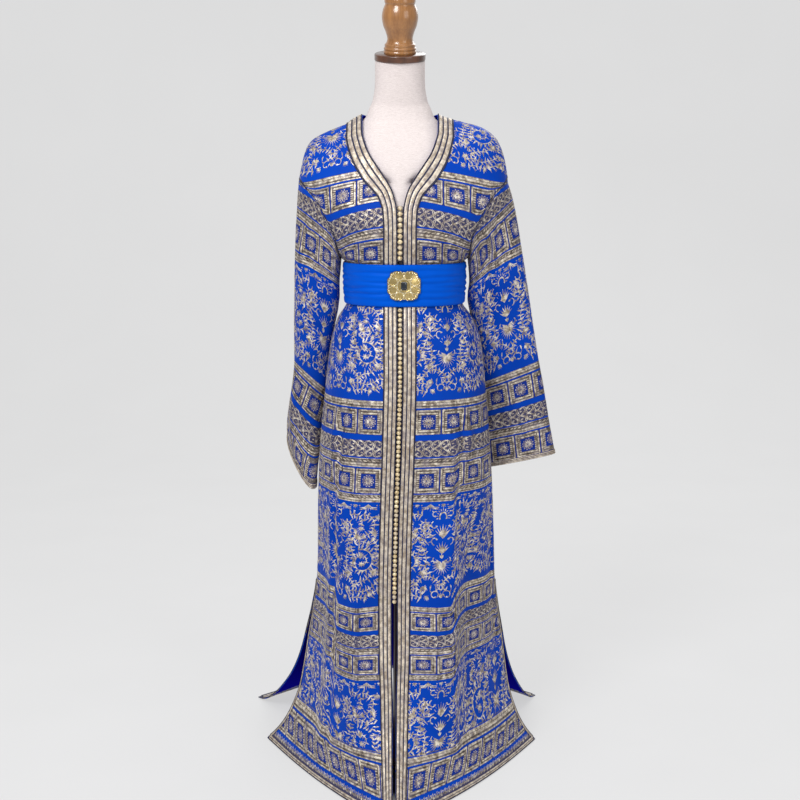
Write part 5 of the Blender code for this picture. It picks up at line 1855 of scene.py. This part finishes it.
def make_buckle():
    """A gilt cartouche with a scalloped edge, scrolls, beads and a step-cut stone."""
    turn = np.arange(96) * 2 * math.pi / 96
    waves = 1 + 0.030 * np.cos(6 * turn) + 0.022 * np.cos(12 * turn + math.pi)
    x, z = squared(turn)
    rings = []
    for ring in PLATE:
        wave = waves if ring.scale > 0.85 else 1
        rings.append(on_belt(x * wave * ring.scale, z * wave * ring.scale, ring.out))
    # the plate takes the darker gold, painted shade of its hollows
    pieces = [sweep("buckle_plate", rings[::-1], shaded_gold)]
    t = np.linspace(0, 1, 18)
    radius = 0.44 + 0.42 * t - 0.15 * np.sin(math.pi * t * 1.6) * t
    bow = 0.05 + 0.30 * np.sin(math.pi * t * 0.9)
    for n in range(8):
        for hand in (-1, 1):
            swirl = n * math.pi / 4 + math.pi / 8 + hand * bow
            path = on_buckle(radius * np.cos(swirl), radius * np.sin(swirl), 0.0048 - 0.0014 * t)
            pieces.append(wire(path, 0.0015 * (1 - 0.35 * t)))
    ring = np.linspace(0, 2 * math.pi, 49)
    pieces.append(wire(on_buckle(0.40 * np.cos(ring), 0.46 * np.sin(ring), 0.0056), 0.0014))
    for n in range(32):
        angle = n * math.pi / 16
        wave = 0.90 * (1 + 0.030 * math.cos(6 * angle))
        x, z = squared(angle)
        pieces.append(bead(on_belt(x * wave, z * wave, 0.0036), 0.0018))
    for n in range(8):
        angle = n * math.pi / 4
        at = on_buckle(0.62 * math.cos(angle), 0.64 * math.sin(angle), 0.0048)
        pieces.append(bead(at, 0.0024))
    for x in (-1, 1):
        for z in (-1, 1):
            pieces.append(bead(on_belt(x * 0.0062, z * 0.0084, 0.0084), 0.0012))
    filigree = pieces[0]
    with bpy.context.temp_override(active_object=filigree, selected_editable_objects=pieces):
        bpy.ops.object.join()
    filigree.name = "buckle_filigree"
    keep(filigree, ["buckle"])
    rings = []
    for scale, out in ((1.0, 0.0052), (1.0, 0.0072), (0.80, 0.0086), (0.55, 0.0094)):
        wide, tall, cut = 0.0065 * scale, 0.0088 * scale, 0.0022 * scale
        corners = [(wide - cut, -tall), (wide, cut - tall), (wide, tall - cut), (wide - cut, tall)]
        corners += [(-x, -z) for x, z in corners]
        rings.append(on_belt([c[0] for c in corners], [c[1] for c in corners], out))
    gem = sweep("buckle_gem", rings[::-1], stone)
    gem.data.shade_flat()
    keep(gem, ["buckle_stone"])


def tilted(points, centre, degrees):
    """Points leant back about the X axis and moved to a centre."""
    x, y, z = points
    lean = math.radians(degrees)
    sine, cosine = math.sin(lean), math.cos(lean)
    return np.stack([x, y * cosine - z * sine, y * sine + z * cosine], -1) + centre


def turned(name, profile, centre, base, material, degrees=0, fine=5):
    """A turned piece, its profile rounded between the stated radii."""
    sides = 72
    index = np.arange(len(profile), dtype=float)
    at = np.linspace(0, len(profile) - 1, (len(profile) - 1) * fine + 1)
    radius = smooth(index, column(profile, "radius"), at)
    height = smooth(index, column(profile, "height"), at)
    turn = np.arange(sides) * 2 * math.pi / sides
    rings = []
    for r, h in zip(radius, height):
        ring = (r * np.cos(turn), r * np.sin(turn), np.full(sides, base + h))
        rings.append(tilted(ring, centre, degrees))
    return sweep(name, rings, material)


def form_ring(ring, sides, lean=0.0):
    x, y = outline(ring.width, ring.width, ring.front, ring.back, sides)
    return tilted((x, y, np.zeros(sides)), (0, -lean, ring.height), ring.tilt)


def shoulder_ring(height, sides):
    outs = np.linspace(0.05, 0.215, 400)
    reach = outs[np.argmax(ridge(-1, outs) < height + FORM_GAP)] - FORM_GAP
    reach = min(reach, 0.190 - max(0, 1.345 - height) * 0.30)
    x, limit = outline(reach, reach, 1, 1, sides)
    deep = []
    for face in ("front", "back"):
        wall_at = depth(face, -1, np.abs(x), height + FORM_GAP) - FORM_GAP
        deep.append(np.clip(np.minimum(wall_at, wall_at.max() * np.abs(limit) ** 1.1), 0, None))
    y = np.where(limit < 0, -deep[0], deep[1])
    y[np.abs(limit) < 1e-6] = 0
    return np.stack([x, y, np.full(sides, height)], 1)


def make_form():
    """The linen-covered body with its neck cap and finial, and the stand under it."""
    sides = 112
    rings = [form_ring(ring, sides) for ring in TORSO]
    rings += [shoulder_ring(height, sides) for height in SHOULDER_RINGS]
    low, high = NECK[0].height, NECK[-1].height
    rings += [form_ring(ring, sides, NECK_LEAN * (ring.height - low) / (high - low)) for ring in NECK]
    at = np.linspace(0, len(rings) - 1, (len(rings) - 1) * 5 + 1)
    body = keep(sweep("form_linen_body", spline(rings, at), linen), ["form_torso"])
    top, tilt = (0, -NECK_LEAN, high), NECK[-1].tilt
    floor = (0, 0, 0)
    cap_top = CAP[-1].height + 2 * SEAM
    pole_top = TORSO[0].height - STAND_HEIGHT - 2 * SEAM
    pole = table_of(TURN_COLUMNS, (POLE_RADIUS, 0), (POLE_RADIUS, pole_top))
    base = table_of(
        TURN_COLUMNS,
        (STAND_RADIUS, 0.0),
        (STAND_RADIUS, 0.010),
        (STAND_RADIUS - 0.006, 0.014),
        (0.040, STAND_HEIGHT),
    )
    cap = turned("form_cap_turned", CAP, top, SEAM, dark_wood, tilt, fine=4)
    keep(cap, ["form_neck_cap"])
    keep(turned("form_finial_turned", FINIAL, top, cap_top, wood, tilt), ["form_finial"])
    made = turned("stand_pole_turned", pole, floor, STAND_HEIGHT + SEAM, dark_wood)
    keep(made, ["stand_pole"])
    made = turned("stand_base_turned", base, floor, 0.0, dark_wood, fine=4)
    keep(made, ["stand_base"])
    return body


# The floor, the light and the camera

CAMERA_HEIGHT = 1.35
CAMERA_AWAY = 3.2
CAMERA_DOWN = 9.5
LENS = 64.8
PAPER_GLOW = 0.56
AIR_GLOW = 0.42
LIGHTS = table_of(
    "name place aim size power",
    ("key_light", (-1.3, -2.6, 2.9), (0, 0, 1.20), 1.2, 76),
    ("fill_light", (2.4, -2.9, 1.9), (0, 0, 1.1), 1.8, 24),
    ("top_light", (0.0, -0.6, 3.8), (0, 0, 0.6), 2.2, 30),
    ("back_light", (1.2, 3.0, 3.2), (0, 0, 0.8), 2.2, 40),
)


def make_stage():
    """A pale paper sweep that glows a little, with a painted shadow under the skirt: a dark oval where
    the paper does not glow.
    """
    m = Nodes("studio_paper", Roughness=1.0, Specular_IOR_Level=0.0)
    fine = m.noise(m.place(), 3.0, 2.0)
    paper = m.ramp(fine, (0.3, (0.215, 0.215, 0.218)), (0.7, (0.225, 0.225, 0.228)))
    # painted shadow: inside this oval under the skirt the paper turns dark and loses its glow
    oval = m.place(scale=(2.6, 0.95, 1))
    away = m.add("ShaderNodeVectorMath", {0: oval}, operation="LENGTH").outputs["Value"]
    outside_painted_shadow = m.ramp(away, (0.26, 0.0), (0.40, 1.0))
    m.link(m.blend(outside_painted_shadow, (0.030, 0.030, 0.034), paper), "Base Color")
    m.shader.inputs["Emission Color"].default_value = (1, 1, 1, 1)
    m.link(m.times(outside_painted_shadow, PAPER_GLOW), "Emission Strength")
    width, back, front, tall, bend = 14.0, 4.5, -6.0, 7.0, 1.6
    path = [(front, 0.0)]
    for n in range(17):
        angle = n / 16 * math.pi / 2
        path.append((back - bend + bend * math.sin(angle), bend - bend * math.cos(angle)))
    path.append((back, tall))
    points = [(x, y, z) for y, z in path for x in (-width / 2, width / 2)]
    faces = [(2 * n, 2 * n + 1, 2 * n + 3, 2 * n + 2) for n in range(len(path) - 1)]
    floor = mesh_object("studio_floor", points, faces, m.material)


def add_light(name, place, aim, size, power):
    light = bpy.data.lights.new(name, "AREA")
    light.size, light.energy = size, power
    made = bpy.data.objects.new(name, light)
    made.location = place
    made.rotation_euler = (Vector(aim) - Vector(place)).to_track_quat("-Z", "Y").to_euler()
    bpy.context.scene.collection.objects.link(made)


def make_studio():
    for light in LIGHTS:
        add_light(*light)
    world = bpy.data.worlds.new("studio_air")
    bpy.context.scene.world = world
    world.use_nodes = True
    air = world.node_tree.nodes["Background"]
    air.inputs[0].default_value = (1, 1, 1, 1)
    air.inputs[1].default_value = AIR_GLOW
    camera = bpy.data.cameras.new("camera")
    camera.lens, camera.sensor_width = LENS, 36.0
    made = bpy.data.objects.new("camera", camera)
    made.location = (0, -CAMERA_AWAY, CAMERA_HEIGHT)
    made.rotation_euler = (math.radians(90 - CAMERA_DOWN), 0, 0)
    bpy.context.scene.collection.objects.link(made)
    bpy.context.scene.camera = made
    bpy.context.scene.view_settings.view_transform = "Standard"


# Everything in its order

back_cloth = joined_back()
sheets = make_cloths()
woven = make_figures()
make_seams()
bands = make_bands()
hem_braids = make_hem_braids()
upper = (VEE + 0.008, BELT_TOP + 0.002, BUTTON_PITCH, BUTTON_RADIUS)
lower = (BELT_BOTTOM - 0.002, LAST_BUTTON, LOWER_PITCH, LOWER_RADIUS)
make_buttons("buttons_knots_upper", "buttons_upper", *upper)
make_buttons("buttons_knots_lower", "buttons_lower", *lower)
belt = make_belt()
make_buckle()
torso = make_form()
make_stage()
make_studio()
